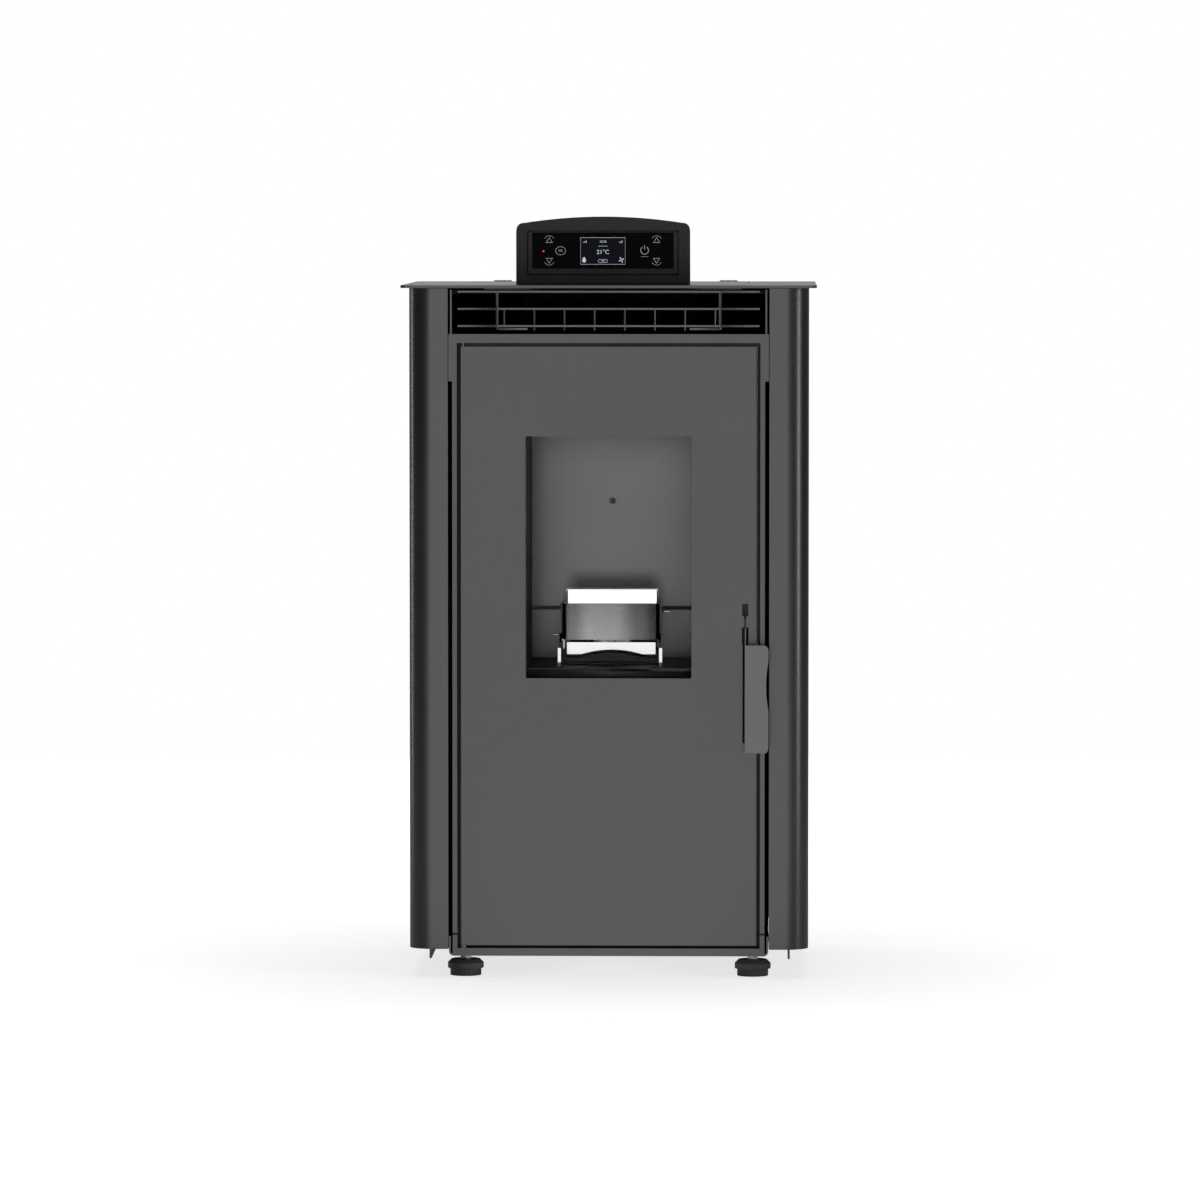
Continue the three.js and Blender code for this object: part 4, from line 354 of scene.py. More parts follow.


# painted shade: behind their outer faces, the front frame and the rear panel turn dull dark, and near black higher up
def inside_painted_shade(name, coated, fully_shaded, black_shade_from):
    """The coat, turning to a dark painted shade between two depths on the Y axis; above a given height it is near
    black.
    """
    material, tree, surface = sheet_finish(name, COAT_TINT, COAT_GLOSS, metallic=COAT_METAL)
    coat = surface.inputs["Base Color"].links[0].from_socket
    place = tree.nodes.new("ShaderNodeTexCoord")
    parts = tree.nodes.new("ShaderNodeSeparateXYZ")
    inside = tree.nodes.new("ShaderNodeMapRange")
    inside.inputs["From Min"].default_value = coated
    inside.inputs["From Max"].default_value = fully_shaded
    tone = tree.nodes.new("ShaderNodeMix")
    tone.data_type = "RGBA"
    height = tree.nodes.new("ShaderNodeMapRange")
    height.inputs["From Min"].default_value = black_shade_from - BLACK_SHADE_FADE
    height.inputs["From Max"].default_value = black_shade_from
    joined(tree, parts, "Z", height, "Value")
    black_shade_tone = tree.nodes.new("ShaderNodeMix")
    black_shade_tone.data_type = "RGBA"
    black_shade_tone.inputs["A"].default_value = (0.034, 0.034, 0.0342, 1)
    black_shade_tone.inputs["B"].default_value = (0.0006, 0.0006, 0.0006, 1)
    joined(tree, height, "Result", black_shade_tone, "Factor")
    tree.links.new(black_shade_tone.outputs["Result"], tone.inputs["B"])
    metal = tree.nodes.new("ShaderNodeMapRange")
    metal.inputs["To Min"].default_value = COAT_METAL
    metal.inputs["To Max"].default_value = 1.0
    joined(tree, place, "Object", parts, "Vector")
    joined(tree, parts, "Y", inside, "Value")
    joined(tree, inside, "Result", tone, "Factor")
    joined(tree, inside, "Result", metal, "Value")
    tree.links.new(coat, tone.inputs["A"])
    tree.links.new(tone.outputs["Result"], surface.inputs["Base Color"])
    joined(tree, metal, "Result", surface, "Metallic")
    return material


BLACK_SHADE_FADE = 0.004
SHEET = 0.0018
FRAME_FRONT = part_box("front_frame")[0][1]
OUTLET_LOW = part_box("outlet_grille")[0][2]
REAR_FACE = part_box("rear_panel")[1][1]
# painted shade inside the front frame, near black from just under the outlet grille up; the rear panel's inside is near
# black throughout
clothed(["front_frame"], inside_painted_shade("coat_frame", FRAME_FRONT + SHEET, FRAME_FRONT + 0.0042, OUTLET_LOW - 0.006))
clothed(["rear_panel"], inside_painted_shade("coat_rear", REAR_FACE - 0.0007, REAR_FACE - 0.0014, 0.0))

# the handle, its pin, the hinge pins and the wire outlet are thinner work in the same coat, a little paler
coat_wire, _, _ = sheet_finish("coat_wire", (0.150, 0.150, 0.151), COAT_GLOSS, peel=900.0, bump=0.08,
                               metallic=COAT_METAL)
clothed(["outlet_grille", "door_handle", "door_hinge_pin_lower", "door_hinge_pin_upper", "handle_pin"], coat_wire)
eased(nodes["door_handle"], 0.0005, segments=3)
eased(nodes["outlet_grille"], 0.0003)


# ---------------------------------------------------------------- inside of the casing and the fire
# Steel plate welded into a box, under matt stove paint that the fire turns grey; the parts above and behind the
# box are near black, painted shade of the casing's dark inside.
fire_dark, _, _ = sheet_finish("fire_dark", (0.085, 0.0845, 0.084), 0.5, shade=0.4, spread=0.2, peel=420.0, dust=0.06,
                               bump=0.2, metallic=0.5)
clothed(["firebox", "hearth_guard", "ash_pan", "glass_clamp", "door_liner", "auger_motor", "rear_plate_screw"],
        fire_dark)
# near-black painted shade on the exchanger, hopper and blower housing
painted_shade_black, _, painted_shade_black_surface = sheet_finish("painted_shade_black", (0.0022, 0.0022, 0.0022), 0.95, shade=0.4, peel=420.0,
                                           dust=0.0)
painted_shade_black_surface.inputs["Specular IOR Level"].default_value = 0.04
clothed(["heat_exchanger", "hopper", "blower_housing"], painted_shade_black)

# the two rear plates are rubbed pale by the scraper; painted shade darkens their left edge and bottom, and a
# painted shadow lies above the pot
rear_steel, rear_tree, rear_surface = sheet_finish("rear_steel", (0.205, 0.204, 0.203), 0.36, shade=0.25, spread=0.16,
                                                   peel=420.0, dust=0.04, bump=0.15, metallic=0.85)
rear_coat = rear_surface.inputs["Base Color"].links[0].from_node
rear_place = rear_tree.nodes.new("ShaderNodeTexCoord")
rear_parts = rear_tree.nodes.new("ShaderNodeSeparateXYZ")
joined(rear_tree, rear_place, "Object", rear_parts, "Vector")


def rear_range(axis, low, high, at_low, at_high):
    """A smooth mask along one axis of the rear plates."""
    node = rear_tree.nodes.new("ShaderNodeMapRange")
    node.interpolation_type = "SMOOTHSTEP"
    for label, number in (("From Min", low), ("From Max", high), ("To Min", at_low), ("To Max", at_high)):
        node.inputs[label].default_value = number
    joined(rear_tree, rear_parts, axis, node, "Value")
    return node.outputs[0]


def rear_maths(operation, first, second):
    """Two masks of the rear plates joined into one."""
    node = rear_tree.nodes.new("ShaderNodeMath")
    node.operation = operation
    rear_tree.links.new(first, node.inputs[0])
    rear_tree.links.new(second, node.inputs[1])
    return node.outputs[0]


POT_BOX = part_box("burn_pot")
POT_TOP = POT_BOX[1][2]
# painted shade at the left edge and the bottom, painted shadow above the pot
left_edge_painted_shade = rear_range("X", -0.093, -0.072, 0.36, 0.0)
painted_shadow_over_pot = rear_maths("MULTIPLY", rear_range("X", -0.060, -0.036, 0.0, 1.0), rear_range("X", 0.040, 0.066, 1.0, 0.0))
painted_shadow_over_pot = rear_maths("MULTIPLY", painted_shadow_over_pot, rear_range("Z", POT_TOP + 0.004, POT_TOP + 0.026, 0.72, 0.0))
bottom_painted_shade = rear_range("Z", 0.350, 0.362, 0.25, 0.0)
rear_painted_shade_mask = rear_maths("MAXIMUM", rear_maths("MAXIMUM", left_edge_painted_shade, painted_shadow_over_pot), bottom_painted_shade)
rear_painted_shade_tone = rear_tree.nodes.new("ShaderNodeMix")
rear_painted_shade_tone.data_type = "RGBA"
rear_painted_shade_tone.inputs["B"].default_value = (0.012, 0.0118, 0.0115, 1)
rear_tree.links.new(rear_painted_shade_mask, rear_painted_shade_tone.inputs["Factor"])
joined(rear_tree, rear_coat, "Colour", rear_painted_shade_tone, "A")
rear_tree.links.new(rear_painted_shade_tone.outputs["Result"], rear_surface.inputs["Base Color"])
clothed(["rear_plate_upper", "rear_plate_lower"], rear_steel)
for name in ("firebox", "rear_plate_upper", "rear_plate_lower", "hearth_guard", "ash_pan", "door_liner", "glass_clamp",
             "rear_plate_screw"):
    eased(nodes[name], 0.0004)


# the hearth plate's front edge is folded down into a stiffening lip over the ash pan's mouth
FIRE_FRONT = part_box("firebox")[0][1]
HEARTH_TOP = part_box("hearth_guard")[0][2]
HEARTH_HALF = 0.0925
LIP_PROFILE = ((0.0022, 0.0), (0.0009, -0.0004), (0.0004, -0.0016), (0.0004, -0.0118), (0.0008, -0.0126),
               (0.0016, -0.0128))
lip_depth, lip_height = np.array(LIP_PROFILE).T
hearth_x = np.linspace(-HEARTH_HALF, HEARTH_HALF, 3)
hearth_points = np.stack(np.broadcast_arrays(
    hearth_x[:, None], FIRE_FRONT - 0.0004 + lip_depth[None, :], HEARTH_TOP + 0.0001 + lip_height[None, :]), axis=-1)
hearth_lip = piece("hearth_lip", hearth_points, grid_faces(3, len(lip_depth)), fire_dark)
hearth_sheet = hearth_lip.modifiers.new("sheet", "SOLIDIFY")
hearth_sheet.thickness = 0.0003
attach(hearth_lip, "cabinet")


# ---------------------------------------------------------------- stainless fire parts
# The burn pot, its cradle and the deflector under it are bent from bright stainless sheet: rolled along its
# length and mirror-like face on; the pot and the cradle's cheeks carry painted light and shade.
def brushed_group():
    """streak = noise stretched along X; outputs it as a mask from 0 to 1."""
    group = bpy.data.node_groups.new("rolled_streaks", "ShaderNodeTree")
    group.interface.new_socket("Vector", in_out="INPUT", socket_type="NodeSocketVector")
    group.interface.new_socket("Stretch", in_out="INPUT", socket_type="NodeSocketVector").default_value = (12, 900, 900)
    group.interface.new_socket("Streak", in_out="OUTPUT", socket_type="NodeSocketFloat")
    start = group.nodes.new("NodeGroupInput")
    end = group.nodes.new("NodeGroupOutput")
    pull = group.nodes.new("ShaderNodeVectorMath")
    pull.operation = "MULTIPLY"
    noise = group.nodes.new("ShaderNodeTexNoise")
    noise.inputs["Scale"].default_value = 1
    noise.inputs["Detail"].default_value = 3
    group.links.new(start.outputs["Vector"], pull.inputs[0])
    group.links.new(start.outputs["Stretch"], pull.inputs[1])
    group.links.new(pull.outputs[0], noise.inputs["Vector"])
    group.links.new(noise.outputs["Fac"], end.inputs["Streak"])
    return group


def rolled_metal(name, colour, dark, low, high, stretch, bump=0.05):
    """Metal whose colour and roughness run between two values along the rolling streaks."""
    material, tree, surface = plain_finish(name, colour, low)
    surface.inputs["Metallic"].default_value = 1.0
    place = tree.nodes.new("ShaderNodeTexCoord")
    streaks = tree.nodes.new("ShaderNodeGroup")
    streaks.node_tree = bpy.data.node_groups.get("rolled_streaks") or brushed_group()
    streaks.inputs["Stretch"].default_value = stretch
    joined(tree, place, "Object", streaks, "Vector")
    tone = tree.nodes.new("ShaderNodeMix")
    tone.data_type = "RGBA"
    tone.inputs["A"].default_value = (*dark, 1)
    tone.inputs["B"].default_value = (*colour, 1)
    joined(tree, streaks, "Streak", tone, "Factor")
    tree.links.new(tone.outputs["Result"], surface.inputs["Base Color"])
    rough = tree.nodes.new("ShaderNodeMapRange")
    rough.inputs["To Min"].default_value = high
    rough.inputs["To Max"].default_value = low
    joined(tree, streaks, "Streak", rough, "Value")
    joined(tree, rough, "Result", surface, "Roughness")
    relief = tree.nodes.new("ShaderNodeBump")
    relief.inputs["Strength"].default_value = bump
    relief.inputs["Distance"].default_value = 0.0002
    joined(tree, streaks, "Streak", relief, "Height")
    joined(tree, relief, "Normal", surface, "Normal")
    return material


ROLLED_ACROSS = (12, 900, 900)
ROLLED_UPRIGHT = (900, 900, 14)
bright_steel = rolled_metal("bright_steel", (0.97, 0.97, 0.97), (0.90, 0.90, 0.89), 0.03, 0.08, ROLLED_ACROSS,
                            bump=0.01)
clothed(["ash_deflector", "auger", "exhaust_impeller", "igniter"], bright_steel)

# the pot is satin sheet with a painted sheen across it, palest left of the middle and dark at its right end, and
# painted light that is brighter towards its bottom; its back plate keeps the plain satin colour
pot_satin = rolled_metal("pot_satin", (0.97, 0.97, 0.97), (0.90, 0.90, 0.90), 0.22, 0.30, ROLLED_ACROSS, bump=0.02)
pot_tree = pot_satin.node_tree
pot_surface = pot_tree.nodes["Principled BSDF"]
pot_rolled = pot_surface.inputs["Base Color"].links[0].from_socket
pot_place = pot_tree.nodes.new("ShaderNodeTexCoord")
pot_parts = pot_tree.nodes.new("ShaderNodeSeparateXYZ")
joined(pot_tree, pot_place, "Object", pot_parts, "Vector")


def pot_range(axis, low, high):
    """The place between two values along one axis of the pot, from 0 to 1."""
    node = pot_tree.nodes.new("ShaderNodeMapRange")
    node.inputs["From Min"].default_value = low
    node.inputs["From Max"].default_value = high
    joined(pot_tree, pot_parts, axis, node, "Value")
    return node.outputs[0]


def pot_mix(factor, first, second, blend="MIX"):
    """Two colours of the pot mixed by a mask; a grey stands for a constant colour."""
    node = pot_tree.nodes.new("ShaderNodeMix")
    node.data_type = "RGBA"
    node.blend_type = blend
    for label, value in (("Factor", factor), ("A", first), ("B", second)):
        if not isinstance(value, (int, float)):
            pot_tree.links.new(value, node.inputs[label])
        elif label == "Factor":
            node.inputs[label].default_value = value
        else:
            node.inputs[label].default_value = (value, value, value, 1)
    return node.outputs["Result"]


# painted sheen across the pot, then painted light that brightens it towards the bottom
pot_painted_sheen = pot_tree.nodes.new("ShaderNodeValToRGB")
pot_sheen_ramp = pot_painted_sheen.color_ramp
pot_sheen_ramp.interpolation = "EASE"
POT_SHEEN_STOPS = ((0.0, 0.14), (0.95, 0.05), (0.10, 0.20), (0.28, 0.36), (0.52, 0.34), (0.80, 0.13))
for number, (place, grey) in enumerate(POT_SHEEN_STOPS):
    stop = pot_sheen_ramp.elements[number] if number < 2 else pot_sheen_ramp.elements.new(place)
    stop.position = place
    stop.color = (grey, grey, grey, 1)
pot_tree.links.new(pot_range("X", POT_BOX[0][0], POT_BOX[1][0]), pot_painted_sheen.inputs["Fac"])
pot_painted_low_light = pot_mix(pot_range("Z", POT_BOX[0][2], POT_TOP - 0.014), 1.15, 0.72)
pot_painted_light = pot_mix(1.0, pot_painted_sheen.outputs["Color"], pot_painted_low_light, "MULTIPLY")
POT_REAR = POT_BOX[1][1]
pot_back_strip = pot_range("Y", POT_REAR - 0.0035, POT_REAR - 0.0025)
pot_tree.links.new(pot_mix(1.0, pot_rolled, pot_mix(pot_back_strip, pot_painted_light, 1.0), "MULTIPLY"),
                   pot_surface.inputs["Base Color"])
clothed(["burn_pot"], pot_satin)

# a polished lip leans on the pot's back plate and turns the falling pellets forward
LIP_HALF = 0.0528
LIP_LOW = POT_TOP - 0.019
LIP_TURN = 0.0034
lip_x, lip_v = np.meshgrid(np.linspace(-LIP_HALF, LIP_HALF, 49), np.linspace(0, 1, 15))
lip_past = np.clip(np.abs(lip_x) - LIP_HALF + LIP_TURN, 0, None)
lip_corner = LIP_TURN - np.sqrt(np.clip(LIP_TURN ** 2 - lip_past ** 2, 0, None))
lip_z = LIP_LOW + lip_v * (POT_TOP - 0.0002 - lip_corner - LIP_LOW)
lip_y = POT_REAR - 0.0038 + 0.0015 * (lip_z - LIP_LOW) / (POT_TOP - LIP_LOW)
pot_lip = piece("pot_lip", np.stack([lip_x, lip_y, lip_z], axis=-1), grid_faces(15, 49), bright_steel)
lip_sheet = pot_lip.modifiers.new("sheet", "SOLIDIFY")
lip_sheet.thickness = 0.0001
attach(pot_lip, "pot")

# the cradle's cheeks are darkened as painted shade; its feet below the pot and its pins stay bright
cradle_steel = rolled_metal("cradle_steel", (0.97, 0.97, 0.97), (0.88, 0.88, 0.87), 0.04, 0.12, ROLLED_UPRIGHT,
                            bump=0.01)
CHEEK_OUTSIDE = 0.0550
PIN_ROOT = 0.0600
MASK_SOFTNESS = 0.0002
cradle_tree = cradle_steel.node_tree
cradle_surface = cradle_tree.nodes["Principled BSDF"]
cradle_rolled = cradle_surface.inputs["Base Color"].links[0].from_socket
cradle_place = cradle_tree.nodes.new("ShaderNodeTexCoord")
cradle_parts = cradle_tree.nodes.new("ShaderNodeSeparateXYZ")
cradle_side = cradle_tree.nodes.new("ShaderNodeMath")
cradle_side.operation = "ABSOLUTE"
cradle_out = cradle_tree.nodes.new("ShaderNodeMapRange")
cradle_down = cradle_tree.nodes.new("ShaderNodeMapRange")
cradle_bare = cradle_tree.nodes.new("ShaderNodeMath")
cradle_bare.operation = "MULTIPLY"
cradle_painted_shade = cradle_tree.nodes.new("ShaderNodeMix")
cradle_painted_shade.data_type = "RGBA"
joined(cradle_tree, cradle_place, "Object", cradle_parts, "Vector")
joined(cradle_tree, cradle_parts, "X", cradle_side, 0)
joined(cradle_tree, cradle_side, 0, cradle_out, "Value")
cradle_out.inputs["From Min"].default_value = CHEEK_OUTSIDE - MASK_SOFTNESS
cradle_out.inputs["From Max"].default_value = CHEEK_OUTSIDE + MASK_SOFTNESS
joined(cradle_tree, cradle_parts, "Z", cradle_down, "Value")
cradle_down.inputs["From Min"].default_value = POT_BOX[0][2] + MASK_SOFTNESS
cradle_down.inputs["From Max"].default_value = POT_BOX[0][2] - MASK_SOFTNESS
cradle_pins = cradle_tree.nodes.new("ShaderNodeMapRange")
cradle_pins.inputs["From Min"].default_value = PIN_ROOT
cradle_pins.inputs["From Max"].default_value = PIN_ROOT + 0.0003
joined(cradle_tree, cradle_side, 0, cradle_pins, "Value")
cradle_bright = cradle_tree.nodes.new("ShaderNodeMath")
cradle_bright.operation = "MAXIMUM"
joined(cradle_tree, cradle_out, "Result", cradle_bare, 0)
joined(cradle_tree, cradle_down, "Result", cradle_bare, 1)
joined(cradle_tree, cradle_bare, "Value", cradle_bright, 0)
joined(cradle_tree, cradle_pins, "Result", cradle_bright, 1)
# colour of the cheeks' painted shade
cradle_painted_shade.inputs["A"].default_value = (0.045, 0.0445, 0.044, 1)
joined(cradle_tree, cradle_bright, "Value", cradle_painted_shade, "Factor")
cradle_tree.links.new(cradle_rolled, cradle_painted_shade.inputs["B"])
cradle_tree.links.new(cradle_painted_shade.outputs["Result"], cradle_surface.inputs["Base Color"])
clothed(["pot_cradle"], cradle_steel)
for name in ("burn_pot", "pot_cradle", "ash_deflector"):
    eased(nodes[name], 0.0003)


# ---------------------------------------------------------------- zinc-plated inner parts
# The smoke fan's housing, both fan motors, feed tube, chute, hopper grid, air pipe, latch keeper and foot studs
# are pressed or turned steel, plated with zinc in a pale, patchy grey and screwed on from behind.
zinc = rolled_metal("zinc_plate", (0.62, 0.63, 0.65), (0.40, 0.41, 0.43), 0.28, 0.5, (38, 38, 12), bump=0.1)
zinc_parts = ["latch_keeper", "exhaust_housing", "exhaust_motor", "blower_motor", "auger_tube", "drop_chute",
              "hopper_grid", "air_intake_pipe", "foot_stud_front_left", "foot_stud_front_right",
              "foot_stud_rear_left", "foot_stud_rear_right"]
clothed(zinc_parts, zinc)
for name in ("exhaust_housing", "hopper", "air_intake_pipe", "latch_keeper", "blower_housing"):
    eased(nodes[name], 0.0003)


# ---------------------------------------------------------------- gaskets
# Ropes of plaited glass fibre, pressed into the liner's channel and glued: off-white strands that cross on the
# slant, darker in the hollows between them.
rope_grey, rope_tree, rope_surface = plain_finish("rope_grey", (0.34, 0.33, 0.31), 0.95)
rope_place = rope_tree.nodes.new("ShaderNodeTexCoord")
rope_strands = []
for lean in (1.0, -1.0):
    slant = rope_tree.nodes.new("ShaderNodeVectorMath")
    slant.operation = "DOT_PRODUCT"
    slant.inputs[1].default_value = (1300.0, 500.0, 1300.0 * lean)
    joined(rope_tree, rope_place, "Object", slant, 0)
    wave = rope_tree.nodes.new("ShaderNodeMath")
    wave.operation = "SINE"
    joined(rope_tree, slant, "Value", wave, 0)
    rope_strands.append(wave)
plait = rope_tree.nodes.new("ShaderNodeMath")
plait.operation = "MAXIMUM"
joined(rope_tree, rope_strands[0], 0, plait, 0)
joined(rope_tree, rope_strands[1], 0, plait, 1)
rope_tone = rope_tree.nodes.new("ShaderNodeMix")
rope_tone.data_type = "RGBA"
rope_tone.inputs["A"].default_value = (0.10, 0.098, 0.094, 1)
rope_tone.inputs["B"].default_value = (0.40, 0.39, 0.36, 1)
joined(rope_tree, plait, 0, rope_tone, "Factor")
rope_tree.links.new(rope_tone.outputs["Result"], rope_surface.inputs["Base Color"])
rope_relief = rope_tree.nodes.new("ShaderNodeBump")
rope_relief.inputs["Strength"].default_value = 0.7
rope_relief.inputs["Distance"].default_value = 0.0006
joined(rope_tree, plait, 0, rope_relief, "Height")
joined(rope_tree, rope_relief, "Normal", rope_surface, "Normal")
clothed(["glass_gasket", "door_gasket"], rope_grey)


# ---------------------------------------------------------------- panes
# The control's cover is gloss black glass, glued into the bezel. The door's pane is clear glass-ceramic with a
# faint smoke haze, clamped against its gasket.
cover_black, _, cover_surface = sheet_finish("cover_black", (0.002, 0.002, 0.0023), 0.07, spread=0.03, shade=0.3,
                                             peel=60.0, bump=0.0, dust=0.0)
cover_surface.inputs["Specular IOR Level"].default_value = 0.02
clothed(["control_glass"], cover_black)
eased(nodes["control_glass"], 0.0003)
pane, pane_tree, pane_surface = plain_finish("pane_glass", (0.97, 0.97, 0.97), 0.02)
pane_surface.inputs["Transmission Weight"].default_value = 1.0
pane_surface.inputs["IOR"].default_value = 1.06
pane_place = pane_tree.nodes.new("ShaderNodeTexCoord")
pane_haze = pane_tree.nodes.new("ShaderNodeTexNoise")
pane_haze.inputs["Scale"].default_value = 9
pane_haze.inputs["Detail"].default_value = 4
pane_tint = pane_tree.nodes.new("ShaderNodeMix")
pane_tint.data_type = "RGBA"
pane_tint.inputs["A"].default_value = (0.90, 0.90, 0.90, 1)
pane_tint.inputs["B"].default_value = (1.0, 1.0, 1.0, 1)
joined(pane_tree, pane_place, "Object", pane_haze, "Vector")
joined(pane_tree, pane_haze, "Fac", pane_tint, "Factor")
pane_tree.links.new(pane_tint.outputs["Result"], pane_surface.inputs["Base Color"])
clothed(["door_glass"], pane)


# ---------------------------------------------------------------- plastics, rubber and board
# The control pod, bezel, inlet and blower wheel are moulded black plastic with a fine spark texture, the foot
# pads moulded rubber, the two boards green laminate and the mains switch a glossy red rocker.
mould_black, _, mould_surface = sheet_finish("mould_black", (0.046, 0.046, 0.0468), 0.5, peel=1500.0, bump=0.1,
                                             dust=0.02)
mould_surface.inputs["Specular IOR Level"].default_value = 0.3
clothed(["control_housing", "control_bezel", "blower_impeller", "power_inlet"], mould_black)
eased(nodes["control_housing"], 0.0012, segments=3)
eased(nodes["control_bezel"], 0.0005)
eased(nodes["power_inlet"], 0.0004)
rubber_black, _, _ = sheet_finish("rubber_black", (0.09, 0.09, 0.09), 0.5, peel=500.0, bump=0.15, dust=0.06)
clothed(["foot_pad_front_left", "foot_pad_front_right", "foot_pad_rear_left", "foot_pad_rear_right"], rubber_black)
board_green, _, _ = sheet_finish("board_green", (0.02, 0.13, 0.05), 0.45, peel=1200.0, bump=0.2, dust=0.0)
clothed(["display_board", "mainboard"], board_green)
switch_red, _, _ = sheet_finish("switch_red", (0.36, 0.02, 0.018), 0.3, peel=900.0, bump=0.03, dust=0.0)
clothed(["power_switch"], switch_red)
eased(nodes["power_switch"], 0.0005)


# ---------------------------------------------------------------- control face
# The keys' marks are white lines screen-printed behind the cover glass, given a painted glow; the screen's symbols
# are lit, on a dark blue-black screen with a pale edge, with one red lamp. Only generic figures and signs are shown.
GLASS_LOW, GLASS_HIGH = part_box("control_glass")
PRINT_FACE = GLASS_LOW[1]
PRINT_DEPTH = 0.00008
LIT_PROUD = 1.6 * PRINT_DEPTH
FACE_X = (GLASS_LOW[0] + GLASS_HIGH[0]) / 2
FACE_Z = (GLASS_LOW[2] + GLASS_HIGH[2]) / 2


def stroke(x, z, width, closed=False):
    """Corners of a line of that width along the points (x, z): each point moved half a width to either side."""
    x, z = np.asarray(x, float), np.asarray(z, float)
    if closed:
        dx, dz = np.roll(x, -1) - np.roll(x, 1), np.roll(z, -1) - np.roll(z, 1)
    else:
        dx, dz = np.gradient(x), np.gradient(z)
    size = np.hypot(dx, dz)
    nx, nz = -dz / size * width / 2, dx / size * width / 2
    rows = np.stack([np.stack([x + nx, z + nz], 1), np.stack([x - nx, z - nz], 1)], 1)
    here = np.arange(len(x) if closed else len(x) - 1)
    following = (here + 1) % len(x)
    faces = np.stack([2 * here, 2 * here + 1, 2 * following + 1, 2 * following], axis=-1)
    return rows.reshape(-1, 2), faces


def patch(x, z):
    """One filled shape with those corners."""
    return np.stack([x, z], 1), [np.arange(len(x))]


def printed(name, shapes, material, proud):
    """All shapes as one thin sheet lying proud metres in front of the cover glass, facing the room."""
    flat = np.vstack([corners for corners, _ in shapes])
    points = np.insert(flat, 1, PRINT_FACE - proud, axis=1)
    starts = np.cumsum([0] + [len(corners) for corners, _ in shapes])
    faces = [start + np.asarray(part) for start, (_, parts) in zip(starts, shapes) for part in parts]
    made = piece(name, points, faces, material, smooth=False)
    for polygon in made.data.polygons:
        if polygon.normal.y > 0:
            polygon.flip()
    thick = made.modifiers.new("thick", "SOLIDIFY")
    thick.thickness = PRINT_DEPTH / 2
    thick.offset = -1
    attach(made, "cabinet")
    return made


def glowing(name, colour, strength):
    """A lit sign, or printed ink given a painted glow: a faint glow whose brightness drifts a little over the sign."""
    material, tree, surface = plain_finish(name, tuple(c * 0.5 for c in colour), 0.4)
    place = tree.nodes.new("ShaderNodeTexCoord")
    drift = tree.nodes.new("ShaderNodeTexNoise")
    drift.inputs["Scale"].default_value = 260
    shade = tree.nodes.new("ShaderNodeMix")
    shade.data_type = "RGBA"
    shade.inputs["A"].default_value = (*[c * 0.75 for c in colour], 1)
    shade.inputs["B"].default_value = (*colour, 1)
    joined(tree, place, "Object", drift, "Vector")
    joined(tree, drift, "Fac", shade, "Factor")
    tree.links.new(shade.outputs["Result"], surface.inputs["Emission Color"])
    surface.inputs["Emission Strength"].default_value = strength
    surface.inputs["Specular IOR Level"].default_value = 0.06
    return material


# the printed key marks glow with painted light; the screen's signs and the red lamp are lit
ink_painted_glow = glowing("ink_painted_glow", (0.62, 0.64, 0.66), 0.5)
lit_white = glowing("lit_white", (0.85, 0.9, 0.95), 0.62)
lit_red = glowing("lit_red", (1.0, 0.06, 0.04), 0.9)
screen_dark = glowing("screen_dark", (0.006, 0.007, 0.013), 0.5)

KEY_ASIDE = 0.0605
KEY_UP = 0.0111
KEY_DOWN = -0.0108
ENTER_ASIDE = -0.0477
POWER_ASIDE = 0.047
around = np.linspace(0, 2 * np.pi, 40, endpoint=False)
key_arc = np.linspace(math.radians(25), math.radians(155), 20)
KEY_RADIUS = 0.0056
key_marks = []
for x, z, tip in (
    (-KEY_ASIDE, KEY_UP, 1), (-KEY_ASIDE, KEY_DOWN, -1), (KEY_ASIDE, KEY_UP, 1), (KEY_ASIDE, KEY_DOWN, -1),
):
    key_marks.append(stroke(
        FACE_X + x + KEY_RADIUS * np.cos(key_arc), FACE_Z + z + tip * KEY_RADIUS * np.sin(key_arc), 0.00032))
    key_marks.append(stroke(
        FACE_X + x + np.array([-0.0036, 0.0, 0.0036]), FACE_Z + z + tip * np.array([-0.0020, 0.0034, -0.0020]),
        0.0008, True))
key_marks.append(stroke(
    FACE_X + ENTER_ASIDE + 0.0056 * np.cos(around), FACE_Z - 0.0002 + 0.0046 * np.sin(around), 0.0004, True))
power_arc = np.linspace(math.radians(125), math.radians(415), 34)
key_marks.append(stroke(
    FACE_X + POWER_ASIDE + 0.0044 * np.cos(power_arc), FACE_Z + 0.0003 + 0.0044 * np.sin(power_arc), 0.0006))
key_marks.append(stroke(FACE_X + POWER_ASIDE + np.zeros(2), FACE_Z + np.array([0.0012, 0.0060]), 0.0006))
key_marks.append(stroke(
    FACE_X + POWER_ASIDE + np.array([-0.004, 0.004]), FACE_Z - np.array([0.0068, 0.0068]), 0.0003))
printed("key_marks", key_marks, ink_painted_glow, PRINT_DEPTH)
lamp_spot = patch(FACE_X - 0.067 + 0.0011 * np.cos(around), FACE_Z - 0.0008 + 0.0011 * np.sin(around))
printed("status_lamp", [lamp_spot], lit_red, PRINT_DEPTH)

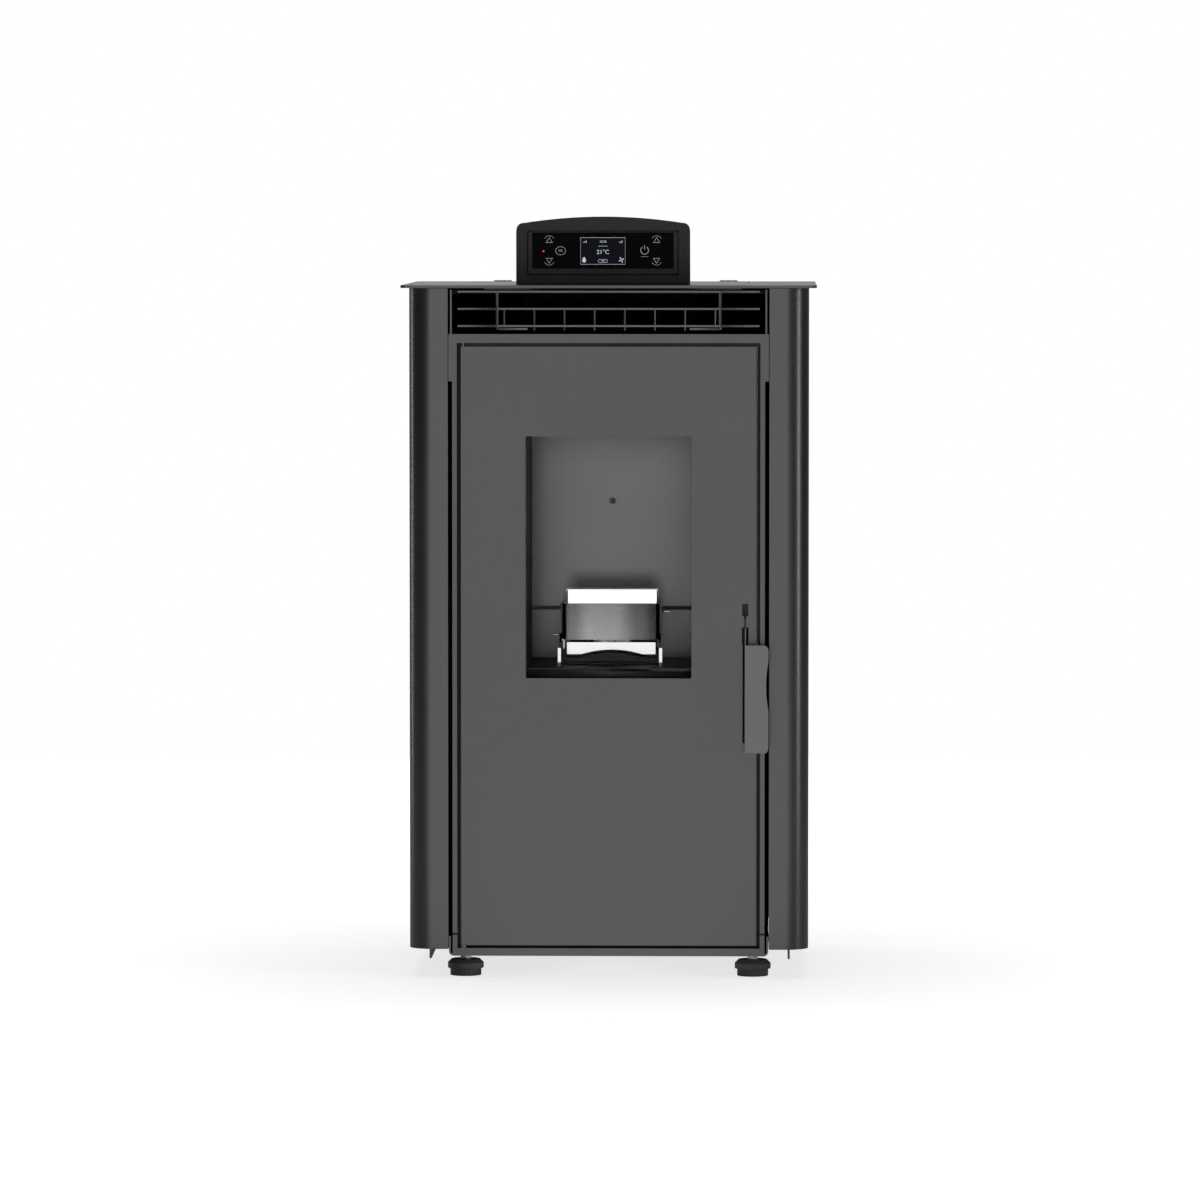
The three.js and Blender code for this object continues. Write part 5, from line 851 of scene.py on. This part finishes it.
SCREEN_HALF = 0.0252
SCREEN_LOW, SCREEN_HIGH = FACE_Z - 0.0155, FACE_Z + 0.0146
screen_x = FACE_X + np.array([-SCREEN_HALF, SCREEN_HALF, SCREEN_HALF, -SCREEN_HALF])
screen_z = np.array([SCREEN_LOW, SCREEN_LOW, SCREEN_HIGH, SCREEN_HIGH])
printed("screen_back", [patch(screen_x, screen_z)], screen_dark, PRINT_DEPTH)
screen_signs = [stroke(screen_x, screen_z, 0.00035, True)]
flame_turn = np.linspace(0, 2 * np.pi, 30, endpoint=False)
flame_width = 0.0019 * np.sin(flame_turn) * (1 - 0.45 * np.cos(flame_turn))
screen_signs.append(patch(FACE_X - 0.0212 + flame_width, SCREEN_LOW + 0.0052 + 0.0031 * np.cos(flame_turn)))
for blade in range(4):
    sweep = np.linspace(0, 1, 8)
    angle = blade * np.pi / 2 + sweep * 0.9
    radius = 0.0033 * np.sin(np.pi * np.clip(sweep, 0.02, 0.98)) ** 0.6
    outer = np.stack([FACE_X + 0.0208 + radius * np.cos(angle), SCREEN_LOW + 0.0051 + radius * np.sin(angle)], 1)
    corners = np.vstack([[FACE_X + 0.0208, SCREEN_LOW + 0.0051], outer])
    screen_signs.append(patch(corners[:, 0], corners[:, 1]))
label_turn = np.linspace(0, 2 * np.pi, 28, endpoint=False)
label_x = FACE_X + 0.0052 * np.sign(np.cos(label_turn)) * np.abs(np.cos(label_turn)) ** 0.45
label_z = SCREEN_LOW + 0.0037 + 0.0018 * np.sign(np.sin(label_turn)) * np.abs(np.sin(label_turn)) ** 0.45
screen_signs.append(stroke(label_x, label_z, 0.00032, True))
# level bars in both upper corners and a dashed rule under the clock
for bar in range(3):
    bar_height = 0.0010 + 0.0008 * bar
    for side in (-1, 1):
        bar_x = FACE_X + side * (0.0216 - 0.0014 * (bar if side < 0 else 2 - bar))
        screen_signs.append(stroke([bar_x, bar_x], [FACE_Z + 0.0087, FACE_Z + 0.0087 + bar_height], 0.0006))
for dash in range(5):
    dash_x = FACE_X + 0.0022 * (dash - 2)
    screen_signs.append(stroke([dash_x - 0.0007, dash_x + 0.0007], [FACE_Z + 0.0050, FACE_Z + 0.0050], 0.0005))
printed("screen_signs", screen_signs, lit_white, LIT_PROUD)


def lettering(name, words, x, z, height, material, proud):
    """Set words as a flat mesh, centred on (x, z) on the cover glass."""
    curve = bpy.data.curves.new(name, "FONT")
    curve.body = words
    curve.size = height
    curve.align_x = "CENTER"
    curve.align_y = "CENTER"
    curve.resolution_u = 3
    carrier = bpy.data.objects.new(name + "_curve", curve)
    bpy.context.scene.collection.objects.link(carrier)
    bpy.context.view_layer.update()
    flat = bpy.data.meshes.new_from_object(carrier.evaluated_get(bpy.context.evaluated_depsgraph_get()))
    bpy.data.objects.remove(carrier)
    points = np.zeros(len(flat.vertices) * 3)
    flat.vertices.foreach_get("co", points)
    points = points.reshape(-1, 3)
    faces = [tuple(polygon.vertices) for polygon in flat.polygons]
    bpy.data.meshes.remove(flat)
    return printed(name, [(np.stack([x + points[:, 0], z + points[:, 1]], 1), faces)], material, proud)


lettering("screen_reading", "21\u00b0C", FACE_X, FACE_Z - 0.0018, 0.0068, lit_white, LIT_PROUD)
lettering("screen_clock", "12:30", FACE_X, FACE_Z + 0.0100, 0.0036, lit_white, LIT_PROUD)
lettering("screen_label", "ON", FACE_X, SCREEN_LOW + 0.0037, 0.0026, lit_white, LIT_PROUD)
lettering("key_enter", "OK", FACE_X + ENTER_ASIDE, FACE_Z - 0.0002, 0.0036, ink_painted_glow, PRINT_DEPTH)
